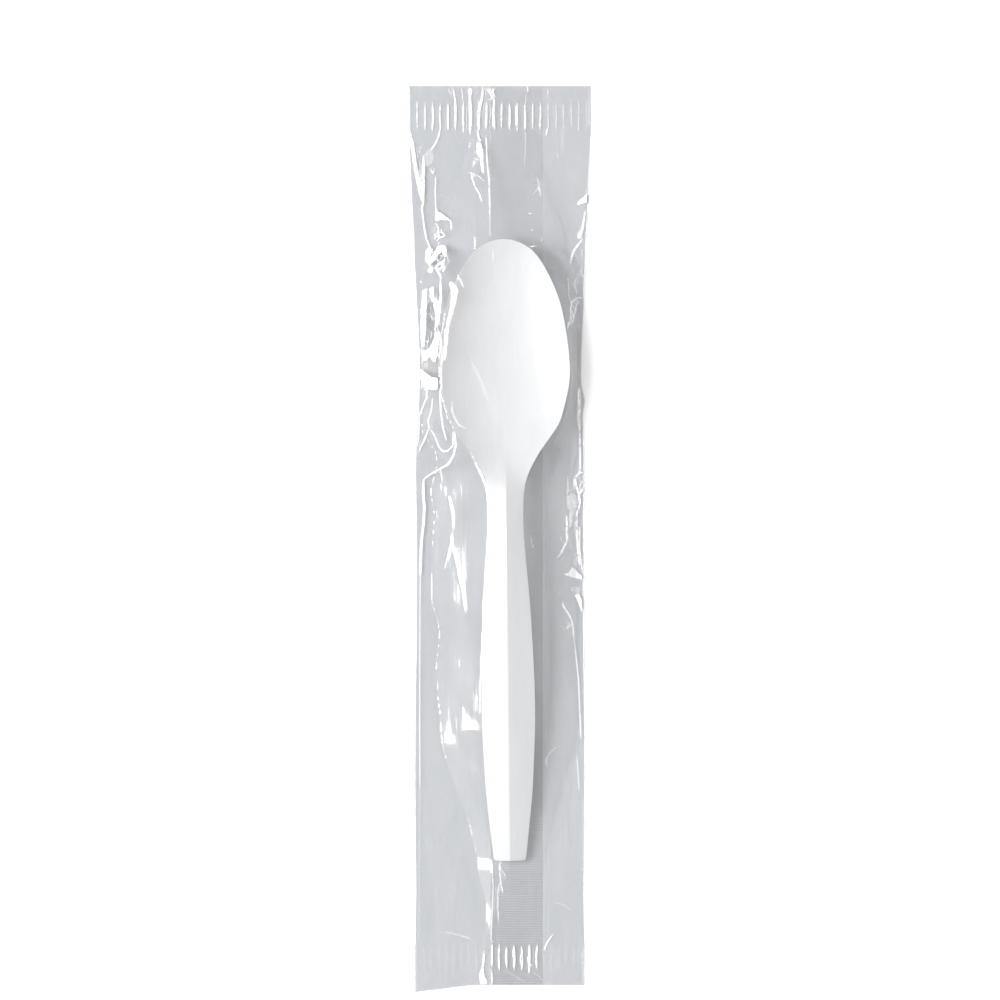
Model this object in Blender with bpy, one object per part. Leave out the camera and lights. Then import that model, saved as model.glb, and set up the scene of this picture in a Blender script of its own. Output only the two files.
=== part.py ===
"""A white moulded teaspoon sealed in a clear film sleeve, lying on its back.

Metres, +Z up. The pack lies on z = 0 with the spoon's bowl towards +Y, and the origin is the middle of
the pack's footprint. Two pieces: the spoon, and the film web that is folded round it and welded.
"""

import math

import bmesh
import bpy
import numpy as np

MM = 0.001

# The spoon, measured along its axis from the tip of the bowl, on its upper side. The wall under that side
# flares outwards, so the whole spoon is 150 mm long and 31.4 mm wide.
SPOON_LENGTH = 149.3 * MM
SPOON_WALL = 1.2 * MM
SPOON_TURN = math.radians(0.6)
SPOON_TIP = (0.9 * MM, 71.8 * MM)
TIP_ARC = 2.4 * MM
WIDEST_AT = 32.0 * MM
NECK_AT = 67.0 * MM
HEEL_FROM, HEEL_TO = 48.0 * MM, 75.0 * MM
END_CORNER_RADIUS = 0.8 * MM
RIM_ROUNDING = 0.35 * MM
GATE_STUB = (0.8 * MM, 1.6 * MM, 0.6 * MM)
HALF_WIDTHS = [  # distance from the tip, half of the width there
    (0.0, 0.0),
    (1.2 * MM, 4.3 * MM),
    (7.3 * MM, 9.5 * MM),
    (19.3 * MM, 13.75 * MM),
    (WIDEST_AT, 15.05 * MM),
    (43.0 * MM, 12.9 * MM),
    (52.6 * MM, 6.8 * MM),
    (57.5 * MM, 4.45 * MM),
    (61.0 * MM, 3.7 * MM),
    (NECK_AT, 3.45 * MM),
    (91.5 * MM, 5.1 * MM),
    (112.5 * MM, 5.85 * MM),
    (129.5 * MM, 5.25 * MM),
    (SPOON_LENGTH, 3.5 * MM),
]
EDGE_HEIGHTS = [  # height of the rim and of the handle's edges above the spoon's lowest point
    (0.0, 6.3 * MM),
    (30.0 * MM, 6.2 * MM),
    (48.0 * MM, 6.9 * MM),
    (60.0 * MM, 8.2 * MM),
    (72.0 * MM, 8.6 * MM),
    (95.0 * MM, 7.4 * MM),
    (125.0 * MM, 4.3 * MM),
    (SPOON_LENGTH, 1.2 * MM),
]
BOWL_DEPTHS = [  # how far the middle of the bowl lies below its rim
    (0.0, 0.0),
    (5.0 * MM, 2.4 * MM),
    (12.0 * MM, 4.1 * MM),
    (28.0 * MM, 5.0 * MM),
    (42.0 * MM, 3.9 * MM),
    (51.0 * MM, 1.8 * MM),
    (60.0 * MM, 0.0),
]
RIDGE_HEIGHTS = [  # how far the ridge down the middle of the handle stands above its edges
    (50.0 * MM, 0.0),
    (62.0 * MM, 1.5 * MM),
    (72.0 * MM, 1.9 * MM),
    (113.0 * MM, 1.9 * MM),
    (SPOON_LENGTH, 1.1 * MM),
]

# The film and how its plies stack where they lie on each other.
FILM = 0.03 * MM
PLY_GAP = 0.02 * MM
PLY_PITCH = FILM + PLY_GAP
FIRST_PLY = 0.025 * MM
CLEARANCE = 0.3 * MM
FILM_OVER_SPOON = CLEARANCE + 0.15 * MM
FILM_ROUND_SPOON = CLEARANCE + 0.7 * MM  # sideways, where the spoon's wall flares out under its rim
SIDE_FOLD_RADIUS = 0.3 * MM
FULL_FOLD_AT = 2.0 * MM
QUARTER_GIRTHS = [  # a quarter of the way round the tube, less the slack taken up in creases
    (-24.0 * MM, 21.95 * MM),
    (40.0 * MM, 21.85 * MM),
    (110.0 * MM, 21.5 * MM),
    (150.0 * MM, 20.7 * MM),
    (167.0 * MM, 20.4 * MM),
]

# The fin: both edges of the web, welded and folded flat towards +X under the back.
FIN_ROOT = -2.35 * MM
FIN_FREE = 10.4 * MM
FIN_STEP = 0.5 * MM

# The end seals, as places along Y.
TOP_EDGE = 109.55 * MM
BOTTOM_EDGE = -107.65 * MM
CORNER_DROP = 1.9 * MM
CORNER_DROP_FROM = -7.0 * MM
SEAL_MARGIN = 4.1 * MM
TOP_RIBS = 6.5 * MM
BOTTOM_RIBS = 5.6 * MM
SEAL_LAND = 1.5 * MM
PLIES_MEET = 0.4 * MM  # how far into the seal the plies lie flat on each other
WEB_ENDS = 0.9 * MM
SEAL_THICKNESS = FIRST_PLY + 3.5 * PLY_PITCH
SEAL_OVERHANG = 0.1 * MM
RIB_COUNT = 23
RIB_HEIGHT = 0.25 * MM
RIB_RUN_OUT = 0.4 * MM


def clear_scene():
    for obj in list(bpy.data.objects):
        bpy.data.objects.remove(obj, do_unlink=True)


def smooth_curve(knots, at):
    """The value at one place of a smooth curve through the knots that doesn't overshoot them."""
    places, values = (np.array(column) for column in zip(*knots))
    at = min(max(at, places[0]), places[-1])
    steps = np.diff(places)
    slopes = np.diff(values) / steps
    tangents = np.concatenate([slopes[:1], np.zeros(len(slopes) - 1), slopes[-1:]])
    for i in range(1, len(slopes)):
        if slopes[i - 1] * slopes[i] > 0:
            tangents[i] = 2 / (1 / slopes[i - 1] + 1 / slopes[i])
    i = min(int(np.searchsorted(places, at, side="right")) - 1, len(steps) - 1)
    t = (at - places[i]) / steps[i]
    return float(
        values[i] * (1 + 2 * t) * (1 - t) ** 2
        + values[i + 1] * t * t * (3 - 2 * t)
        + steps[i] * t * (1 - t) * (tangents[i] * (1 - t) - tangents[i + 1] * t)
    )


def plastic(name, color, roughness, alpha=1.0):
    material = bpy.data.materials.new(name)
    material.use_nodes = True
    shader = material.node_tree.nodes["Principled BSDF"]
    shader.inputs["Base Color"].default_value = (*color, 1)
    shader.inputs["Roughness"].default_value = roughness
    shader.inputs["Metallic"].default_value = 0
    shader.inputs["Alpha"].default_value = alpha
    return material


def add_object(name, bm, material=None):
    mesh = bpy.data.meshes.new(name)
    bm.to_mesh(mesh)
    bm.free()
    mesh.shade_smooth()
    mesh.set_sharp_from_angle(angle=math.radians(25))
    obj = bpy.data.objects.new(name, mesh)
    bpy.context.scene.collection.objects.link(obj)
    if material:
        mesh.materials.append(material)
    return obj


def helper(obj):
    """Keeps a mesh that only joins another out of the model."""
    obj.hide_render = True
    obj.display_type = "WIRE"
    return obj


def thicken(obj, thickness, offset):
    modifier = obj.modifiers.new("wall", "SOLIDIFY")
    modifier.thickness = thickness
    modifier.offset = offset
    modifier.use_even_offset = True


def join(obj, other):
    modifier = obj.modifiers.new(other.name, "BOOLEAN")
    modifier.operation = "UNION"
    modifier.solver = "EXACT"
    modifier.object = helper(other)


def shaped_grid(columns, rows, place):
    """A grid of quads whose vertex at (column, row) goes to place(column, row). Row 0 is at +Y."""
    bm = bmesh.new()
    bmesh.ops.create_grid(bm, x_segments=columns, y_segments=rows, size=1)
    for vertex in bm.verts:
        column = round((vertex.co.x + 1) / 2 * columns)
        row = round((1 - vertex.co.y) / 2 * rows)
        vertex.co = place(column, row)
    return bm


# --- Spoon -------------------------------------------------------------------------------------------


def half_width(distance):
    """Half of the spoon's width. Read against the square root of the distance, so the tip is round."""
    knots = [(math.sqrt(at), half) for at, half in HALF_WIDTHS]
    half = smooth_curve(knots, math.sqrt(max(distance, 0)))
    into_corner = distance - (SPOON_LENGTH - END_CORNER_RADIUS)
    if into_corner > 0:
        half -= END_CORNER_RADIUS - math.sqrt(max(END_CORNER_RADIUS**2 - into_corner**2, 0))
    return half


def spoon_top(distance, across):
    """Height of the spoon's upper side, at a distance from the tip and an offset from the axis."""
    share = min(abs(across) / max(half_width(distance), 1e-6), 1)
    bowl = smooth_curve(BOWL_DEPTHS, distance) * (1 - share**2) ** 0.9
    ridge = smooth_curve(RIDGE_HEIGHTS, distance) * (1 - share)
    return smooth_curve(EDGE_HEIGHTS, distance) + ridge - bowl


def spoon_rows():
    """Distances along the rim: close together at the tip, in the heel of the bowl and at the end."""
    tip = TIP_ARC + (WIDEST_AT - TIP_ARC) * np.linspace(0, 1, 13) ** 1.4
    heel = np.linspace(WIDEST_AT, NECK_AT, 18)[1:]
    handle = np.linspace(NECK_AT, SPOON_LENGTH - END_CORNER_RADIUS, 11)[1:]
    corner = SPOON_LENGTH - END_CORNER_RADIUS * (1 - np.sin(np.radians([35, 65, 90])))
    return np.concatenate([tip, heel, handle, corner])


def make_spoon():
    columns, distances = 14, spoon_rows()

    def place(column, row):
        share = 2 * column / columns - 1
        rim = distances[row]
        lag = TIP_ARC * max(1 - (rim - TIP_ARC) / (WIDEST_AT - TIP_ARC), 0) ** 2
        distance = rim - lag * (1 - share**2)
        across = share * half_width(rim)
        return across, -distance, spoon_top(distance, across)

    bm = shaped_grid(columns, len(distances) - 1, place)
    spoon = add_object("spoon", bm, plastic("spoon_plastic", (0.9, 0.9, 0.89), 0.3))
    thicken(spoon, SPOON_WALL, -1)
    rounding = spoon.modifiers.new("rim", "BEVEL")
    rounding.width = RIM_ROUNDING
    rounding.segments = 2
    rounding.limit_method = "ANGLE"
    rounding.angle_limit = math.radians(50)
    join(spoon, make_gate_stub(spoon))
    spoon.location = (*SPOON_TIP, lowest_spoon_height())
    spoon.rotation_euler.z = SPOON_TURN
    return spoon


def make_gate_stub(spoon):
    """The little stub in the middle of the handle's end, where the runner was broken off."""
    width, length, height = GATE_STUB
    bm = bmesh.new()
    bmesh.ops.create_cube(bm, size=1)
    bmesh.ops.scale(bm, vec=(width, length, height), verts=bm.verts)
    middle = spoon_top(SPOON_LENGTH, 0) - SPOON_WALL / 2
    bmesh.ops.translate(bm, vec=(0, -SPOON_LENGTH, middle), verts=bm.verts)
    stub = add_object("gate_stub", bm)
    stub.parent = spoon
    return stub


def lowest_spoon_height():
    """The spoon lies on the back ply where that passes over the fin."""
    return FIRST_PLY + 2.5 * PLY_PITCH + CLEARANCE


# --- Film --------------------------------------------------------------------------------------------


def ply(number):
    """Height of the middle of a ply in the stack: 0 and 1 are the fin, 2 the back, 3 the front."""
    return FIRST_PLY + number * PLY_PITCH


def tent(distance):
    """Half-width of the film's flat top, the height of its shoulders and the height of its middle."""
    on_spoon = min(max(distance, TIP_ARC), SPOON_LENGTH)
    half = half_width(min(on_spoon, SPOON_LENGTH - END_CORNER_RADIUS)) + FILM_ROUND_SPOON
    reach = min(max(distance, 0), SPOON_LENGTH)
    shoulder = spoon_top(reach, half_width(reach)) + lowest_spoon_height() + FILM_OVER_SPOON
    middle = max(spoon_top(reach, 0) + lowest_spoon_height() + FILM_OVER_SPOON, shoulder)
    before = SPOON_TIP[1] - seal_inner_edge(1) - PLIES_MEET
    after = SPOON_TIP[1] - seal_inner_edge(-1) + PLIES_MEET
    beyond = SPOON_LENGTH + GATE_STUB[1] / 2 + FILM_ROUND_SPOON
    fall = 1.0
    if distance < -FILM_ROUND_SPOON:
        fall = (distance - before) / (-FILM_ROUND_SPOON - before)
    elif distance > beyond:
        fall = (after - distance) / (after - beyond)
    fall = min(max(fall, 0), 1)
    return half, ply(3) + (shoulder - ply(3)) * fall, ply(3) + (middle - ply(3)) * fall


def seal_inner_edge(side):
    """Where along Y the plies reach the seal: side is 1 at the bowl's end and -1 at the handle's."""
    if side > 0:
        return TOP_EDGE - SEAL_MARGIN - TOP_RIBS - SEAL_LAND
    return BOTTOM_EDGE + SEAL_MARGIN + BOTTOM_RIBS + SEAL_LAND


def between(start, end, count):
    """Points from start towards end, with end left out."""
    start, end = np.array(start), np.array(end)
    return [tuple(start + (end - start) * i / count) for i in range(count)]


def film_section(y):
    """The web's path across the pack, as (x, z): fin, back, front, back and fin again."""
    distance = SPOON_TIP[1] - y
    half, shoulder, middle = tent(distance)
    axis = SPOON_TIP[0] + distance * math.tan(SPOON_TURN)
    quarter = smooth_curve(QUARTER_GIRTHS, distance)
    edge = quarter - shoulder**2 / (4 * (quarter - half))
    opened = min((shoulder - ply(3)) / FULL_FOLD_AT, 1)
    radius = 1.5 * PLY_PITCH + (SIDE_FOLD_RADIUS - 1.5 * PLY_PITCH) * opened

    def fold(side, angles):
        turns = [math.radians(angle) for angle in angles]
        return [
            (side * (edge - radius + radius * math.cos(a)), ply(0) + radius * (1 + math.sin(a)))
            for a in turns
        ]

    left_fold = fold(-1, (-90, -45, 0, 45))
    right_fold = fold(1, (45, 0, -45, -90))
    left, right = (axis - half, shoulder), (axis + half, shoulder)
    top = (axis, middle)
    return [
        *between((FIN_FREE, ply(0)), (FIN_ROOT, ply(0)), 2),
        *between((FIN_ROOT, ply(0)), left_fold[0], 2),
        *left_fold[:-1],
        *between(left_fold[-1], left, 2),
        *between(left, top, 3),
        *between(top, right, 3),
        *between(right, right_fold[0], 2),
        *right_fold,
        (FIN_FREE + 2 * FIN_STEP, ply(0)),
        *between((FIN_FREE + FIN_STEP, ply(2)), (FIN_ROOT, ply(2)), 2),
        (FIN_ROOT, ply(2)),
        (FIN_ROOT - PLY_PITCH / 2, (ply(1) + ply(2)) / 2),
        *between((FIN_ROOT, ply(1)), (FIN_FREE, ply(1)), 2),
        (FIN_FREE, ply(1)),
    ]


def film_stations():
    """Places along Y of the web's rows, close together where the spoon changes quickly."""
    tip, end = SPOON_TIP[1], SPOON_TIP[1] - SPOON_LENGTH
    beyond = end - GATE_STUB[1] / 2 - FILM_ROUND_SPOON
    top, bottom = seal_inner_edge(1) + PLIES_MEET, seal_inner_edge(-1) - PLIES_MEET
    marks = [
        (seal_inner_edge(1) + WEB_ENDS, top, 1),
        (top, tip + FILM_ROUND_SPOON, 3),
        (tip + FILM_ROUND_SPOON, tip - TIP_ARC, 1),
        (tip - TIP_ARC, tip - HEEL_FROM, 9),
        (tip - HEEL_FROM, tip - HEEL_TO, 9),
        (tip - HEEL_TO, end, 7),
        (end, beyond, 1),
        (beyond, bottom, 2),
        (bottom, seal_inner_edge(-1) - WEB_ENDS, 1),
    ]
    stations = [y for start, stop, count in marks for y in np.linspace(start, stop, count + 1)[:-1]]
    return [*stations, marks[-1][1]]


def make_film():
    stations = film_stations()
    sections = [film_section(y) for y in stations]
    columns = len(sections[0]) - 1

    def place(column, row):
        x, z = sections[row][columns - column]
        return x, stations[row], z

    bm = shaped_grid(columns, len(stations) - 1, place)
    film = add_object("film_sleeve", bm, plastic("film", (0.86, 0.88, 0.9), 0.12, alpha=0.25))
    thicken(film, FILM, 0)
    for side in (1, -1):
        join(film, make_seal(side))
    return film


def make_seal(side):
    """One end seal: a thin flat strip across the pack, with ribs along Y pressed into its middle."""
    inner = seal_inner_edge(side)
    outer = TOP_EDGE if side > 0 else BOTTOM_EDGE
    ribs = TOP_RIBS if side > 0 else BOTTOM_RIBS
    half = smooth_curve(QUARTER_GIRTHS, SPOON_TIP[1] - outer) + SEAL_OVERHANG
    first_rib = inner + side * SEAL_LAND
    last_rib = first_rib + side * ribs
    rows = [
        (inner, 0),
        (first_rib, 0),
        (first_rib + side * RIB_RUN_OUT, 1),
        (last_rib - side * RIB_RUN_OUT, 1),
        (last_rib, 0),
        (outer, 0),
    ]
    rows.sort(reverse=True)
    columns = 2 * RIB_COUNT

    def place(column, row):
        y, raised = rows[row]
        x = half * (2 * column / columns - 1)
        if side < 0:
            outward = (y - inner) / (outer - inner)
            slope = max((CORNER_DROP_FROM - x) / (CORNER_DROP_FROM + half), 0)
            y -= CORNER_DROP * slope * outward
        return x, y, RIB_HEIGHT * raised * (column % 2)

    name = "top_seal" if side > 0 else "bottom_seal"
    seal = add_object(name, shaped_grid(columns, len(rows) - 1, place))
    thicken(seal, SEAL_THICKNESS, 1)
    return seal


def main():
    clear_scene()
    make_spoon()
    make_film()


main()
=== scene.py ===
"""A white plastic teaspoon sealed in a clear film sleeve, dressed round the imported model.

The spoon is one moulding and the film one thin web: wrapped round the spoon, its two edges welded into a
fin under the back, and both ends crimped. Sizes and places are in millimetres until a mesh is made.
"""

import logging
import math
from dataclasses import dataclass, field
from enum import Enum

import bmesh
import bpy
import numpy as np
from mathutils.bvhtree import BVHTree
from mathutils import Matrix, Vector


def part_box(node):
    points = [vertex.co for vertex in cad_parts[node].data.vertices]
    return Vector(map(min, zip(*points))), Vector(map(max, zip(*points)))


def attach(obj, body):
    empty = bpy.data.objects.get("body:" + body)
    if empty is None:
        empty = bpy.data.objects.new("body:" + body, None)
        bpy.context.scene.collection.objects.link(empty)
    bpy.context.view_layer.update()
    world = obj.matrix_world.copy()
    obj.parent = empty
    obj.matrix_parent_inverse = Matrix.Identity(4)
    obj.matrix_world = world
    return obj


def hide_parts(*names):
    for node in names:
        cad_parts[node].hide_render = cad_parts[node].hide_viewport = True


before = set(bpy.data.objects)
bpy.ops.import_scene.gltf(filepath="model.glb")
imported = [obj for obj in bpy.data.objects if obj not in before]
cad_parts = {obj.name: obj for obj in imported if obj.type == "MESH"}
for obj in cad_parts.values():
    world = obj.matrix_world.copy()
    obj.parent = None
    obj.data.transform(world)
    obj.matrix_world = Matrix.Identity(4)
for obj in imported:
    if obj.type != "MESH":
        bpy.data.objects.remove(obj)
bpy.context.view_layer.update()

MM = 0.001
log = logging.getLogger("wrapped_spoon")

KEY_FROM_ZENITH = 46.0

Knots = tuple[tuple[float, float], ...]
Path2 = tuple[tuple[float, float], ...]


# --- Curves and noise --------------------------------------------------------------------------------


@dataclass(frozen=True)
class Curve:
    """A smooth curve through knots that doesn't overshoot them.

    Args:
        knots: places and the values there, in rising order of place.
    """

    knots: Knots

    def __call__(self, at: np.ndarray | float) -> np.ndarray:
        """Read the curve.

        Args:
            at: places, which are held within the first and the last knot.

        Returns:
            The values at those places.
        """
        places, values = (np.array(column, float) for column in zip(*self.knots))
        at = np.clip(np.asarray(at, float), places[0], places[-1])
        steps = np.diff(places)
        slopes = np.diff(values) / steps
        tangents = np.concatenate([slopes[:1], np.zeros(len(slopes) - 1), slopes[-1:]])
        for i in range(1, len(slopes)):
            if slopes[i - 1] * slopes[i] > 0:
                tangents[i] = 2 / (1 / slopes[i - 1] + 1 / slopes[i])
        i = np.clip(np.searchsorted(places, at, side="right") - 1, 0, len(steps) - 1)
        t = (at - places[i]) / steps[i]
        rise = tangents[i] * (1 - t) - tangents[i + 1] * t
        ends = values[i] * (1 + 2 * t) * (1 - t) ** 2 + values[i + 1] * t * t * (3 - 2 * t)
        return ends + steps[i] * t * (1 - t) * rise


def ramp(value: np.ndarray, start: float, end: float) -> np.ndarray:
    """Rise smoothly from 0 where value is start to 1 where it is end."""
    t = np.clip((value - start) / (end - start), 0, 1)
    return t * t * (3 - 2 * t)


@dataclass(frozen=True)
class Noise:
    """Smooth random waves on a lattice of cells.

    Args:
        cell: the cell's width and length.
        seed: picks the pattern.
    """

    cell: tuple[float, float]
    seed: int

    def __call__(self, x: np.ndarray, y: np.ndarray) -> np.ndarray:
        """Read the noise.

        Args:
            x: places across.
            y: places along.

        Returns:
            Values from -1 to 1.
        """
        lattice = np.random.default_rng(self.seed).uniform(-1, 1, (64, 256))
        u, v = x / self.cell[0] + 31.5, y / self.cell[1] + 127.5
        column, row = np.floor(u).astype(int), np.floor(v).astype(int)
        s, t = u - column, v - row
        s, t = s * s * (3 - 2 * s), t * t * (3 - 2 * t)
        corner = [
            [lattice[(column + i) % 64, (row + j) % 256] for j in (0, 1)] for i in (0, 1)
        ]
        low = corner[0][0] * (1 - s) + corner[1][0] * s
        high = corner[0][1] * (1 - s) + corner[1][1] * s
        return low * (1 - t) + high * t


# --- Shader building ---------------------------------------------------------------------------------


class Signal:
    """A value in a shader. Arithmetic on it in Python adds the Math nodes."""

    def __init__(self, shader: "Shader", socket: bpy.types.NodeSocket) -> None:
        """Wrap an output socket of one of the shader's nodes."""
        self.shader = shader
        self.socket = socket

    def maths(self, operation: str, *values: "Signal | float", clamp: bool = False) -> "Signal":
        """Add a Math node.

        Args:
            operation: the node's operation.
            values: its inputs, in order.
            clamp: whether the result is held within 0 and 1.

        Returns:
            The node's result.
        """
        settings = {"operation": operation, "use_clamp": clamp}
        return self.shader.signal("ShaderNodeMath", settings, dict(enumerate(values)))

    def __add__(self, other: "Signal | float") -> "Signal":
        """Add a value."""
        return self.maths("ADD", self, other)

    def __sub__(self, other: "Signal | float") -> "Signal":
        """Take a value away."""
        return self.maths("SUBTRACT", self, other)

    def __rsub__(self, other: float) -> "Signal":
        """Take this from a number."""
        return self.maths("SUBTRACT", other, self)

    def __mul__(self, other: "Signal | float") -> "Signal":
        """Multiply by a value."""
        return self.maths("MULTIPLY", self, other)

    def __truediv__(self, other: "Signal | float") -> "Signal":
        """Divide by a value."""
        return self.maths("DIVIDE", self, other)

    def __pow__(self, other: float) -> "Signal":
        """Raise to a power."""
        return self.maths("POWER", self, other)

    __radd__ = __add__
    __rmul__ = __mul__

    def wave(self, pitch: float) -> "Signal":
        """Turn a place into a wave from 0 to 1 that repeats every pitch."""
        return 0.5 + 0.5 * self.maths("SINE", self * (2 * math.pi / pitch))

    def held(self) -> "Signal":
        """Hold the value within 0 and 1."""
        return self.maths("ADD", self, 0.0, clamp=True)


class Shader:
    """A material's node tree."""

    def __init__(self, owner: bpy.types.Material | bpy.types.World) -> None:
        """Clear the nodes of a material or a world."""
        self.owner = owner
        owner.use_nodes = True
        self.tree = owner.node_tree
        self.tree.nodes.clear()

    @classmethod
    def of_material(cls, name: str) -> "Shader":
        """Start a new material of that name."""
        return cls(bpy.data.materials.new(name))

    def node(self, kind: str, settings: dict | None = None, inputs: dict | None = None) -> bpy.types.Node:
        """Add any node.

        Args:
            kind: the node's type.
            settings: its properties, set first.
            inputs: values or links of its sockets, by name or number.

        Returns:
            The node.
        """
        node = self.tree.nodes.new(kind)
        for name, value in (settings or {}).items():
            setattr(node, name, value)
        for name, value in (inputs or {}).items():
            socket = node.inputs[name]
            value = value.socket if isinstance(value, Signal) else value
            if isinstance(value, bpy.types.NodeSocket):
                self.tree.links.new(value, socket)
            else:
                socket.default_value = value
        return node

    def signal(
        self,
        kind: str,
        settings: dict | None = None,
        inputs: dict | None = None,
        output: int | str = 0,
    ) -> Signal:
        """Add any node and wrap one of its outputs."""
        return Signal(self, self.node(kind, settings, inputs).outputs[output])

    def place(self, scale: tuple[float, float, float]) -> Signal:
        """The object's own coordinates in metres, stretched by a scale on each axis."""
        place = self.signal("ShaderNodeTexCoord", output="Object")
        return self.signal("ShaderNodeMapping", inputs={"Vector": place, "Scale": scale})

    def cloud(self, vector: Signal, scale: float, detail: float = 2.0) -> Signal:
        """Soft noise about 0.5 at a scale in cells to the metre."""
        inputs = {"Vector": vector, "Scale": scale, "Detail": detail, "Roughness": 0.5}
        return self.signal("ShaderNodeTexNoise", inputs=inputs, output="Fac")

    def mask(self, name: str) -> Signal:
        """A value that the mesh's vertices carry."""
        return self.signal("ShaderNodeAttribute", {"attribute_name": name}, output="Fac")

    def bump(self, height: Signal, distance: float, strength: float = 1.0) -> Signal:
        """Turn a height into a normal.

        Args:
            height: the height, where 1 stands proud by distance.
            distance: how far, in metres.
            strength: how much of it shows.

        Returns:
            The normal.
        """
        inputs = {"Height": height, "Distance": distance, "Strength": strength}
        return self.signal("ShaderNodeBump", inputs=inputs)

    def finish(self, surface: Signal) -> bpy.types.Material:
        """Lead a surface to the output and hand the material over."""
        self.node("ShaderNodeOutputMaterial", inputs={"Surface": surface})
        return self.owner


@dataclass(frozen=True)
class MouldedPlastic:
    """White moulded polystyrene: satin, with faint flow marks along the spoon.

    Args:
        white: its colour where it is thick.
        pale: its colour where the mould packed it less.
        roughness: of the mould's polish, and how far it varies.
        flow_height: how far the flow marks stand proud, in metres.
    """

    white: tuple[float, float, float] = (0.87, 0.862, 0.855)
    pale: tuple[float, float, float] = (0.855, 0.848, 0.843)
    roughness: tuple[float, float] = (0.42, 0.1)
    flow_height: float = 0.000006

    def build(self) -> bpy.types.Material:
        """Make the material."""
        shader = Shader.of_material("white_moulded_plastic")
        flow = shader.cloud(shader.place((1.0, 0.12, 1.0)), 260.0, 3.0)
        grain = shader.cloud(shader.place((1.0, 1.0, 1.0)), 2600.0)
        colour = shader.signal(
            "ShaderNodeMix",
            {"data_type": "RGBA"},
            {"Factor": flow, 6: (*self.white, 1), 7: (*self.pale, 1)},
            output=2,
        )
        rough = self.roughness[0] + self.roughness[1] * (0.7 * flow + 0.3 * grain - 0.5)
        surface = shader.signal(
            "ShaderNodeBsdfPrincipled",
            inputs={
                "Base Color": colour,
                "Roughness": rough,
                "Normal": shader.bump(flow * 0.9 + grain * 0.1, self.flow_height),
                "IOR": 1.49,
            },
        )
        return shader.finish(surface)


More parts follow.
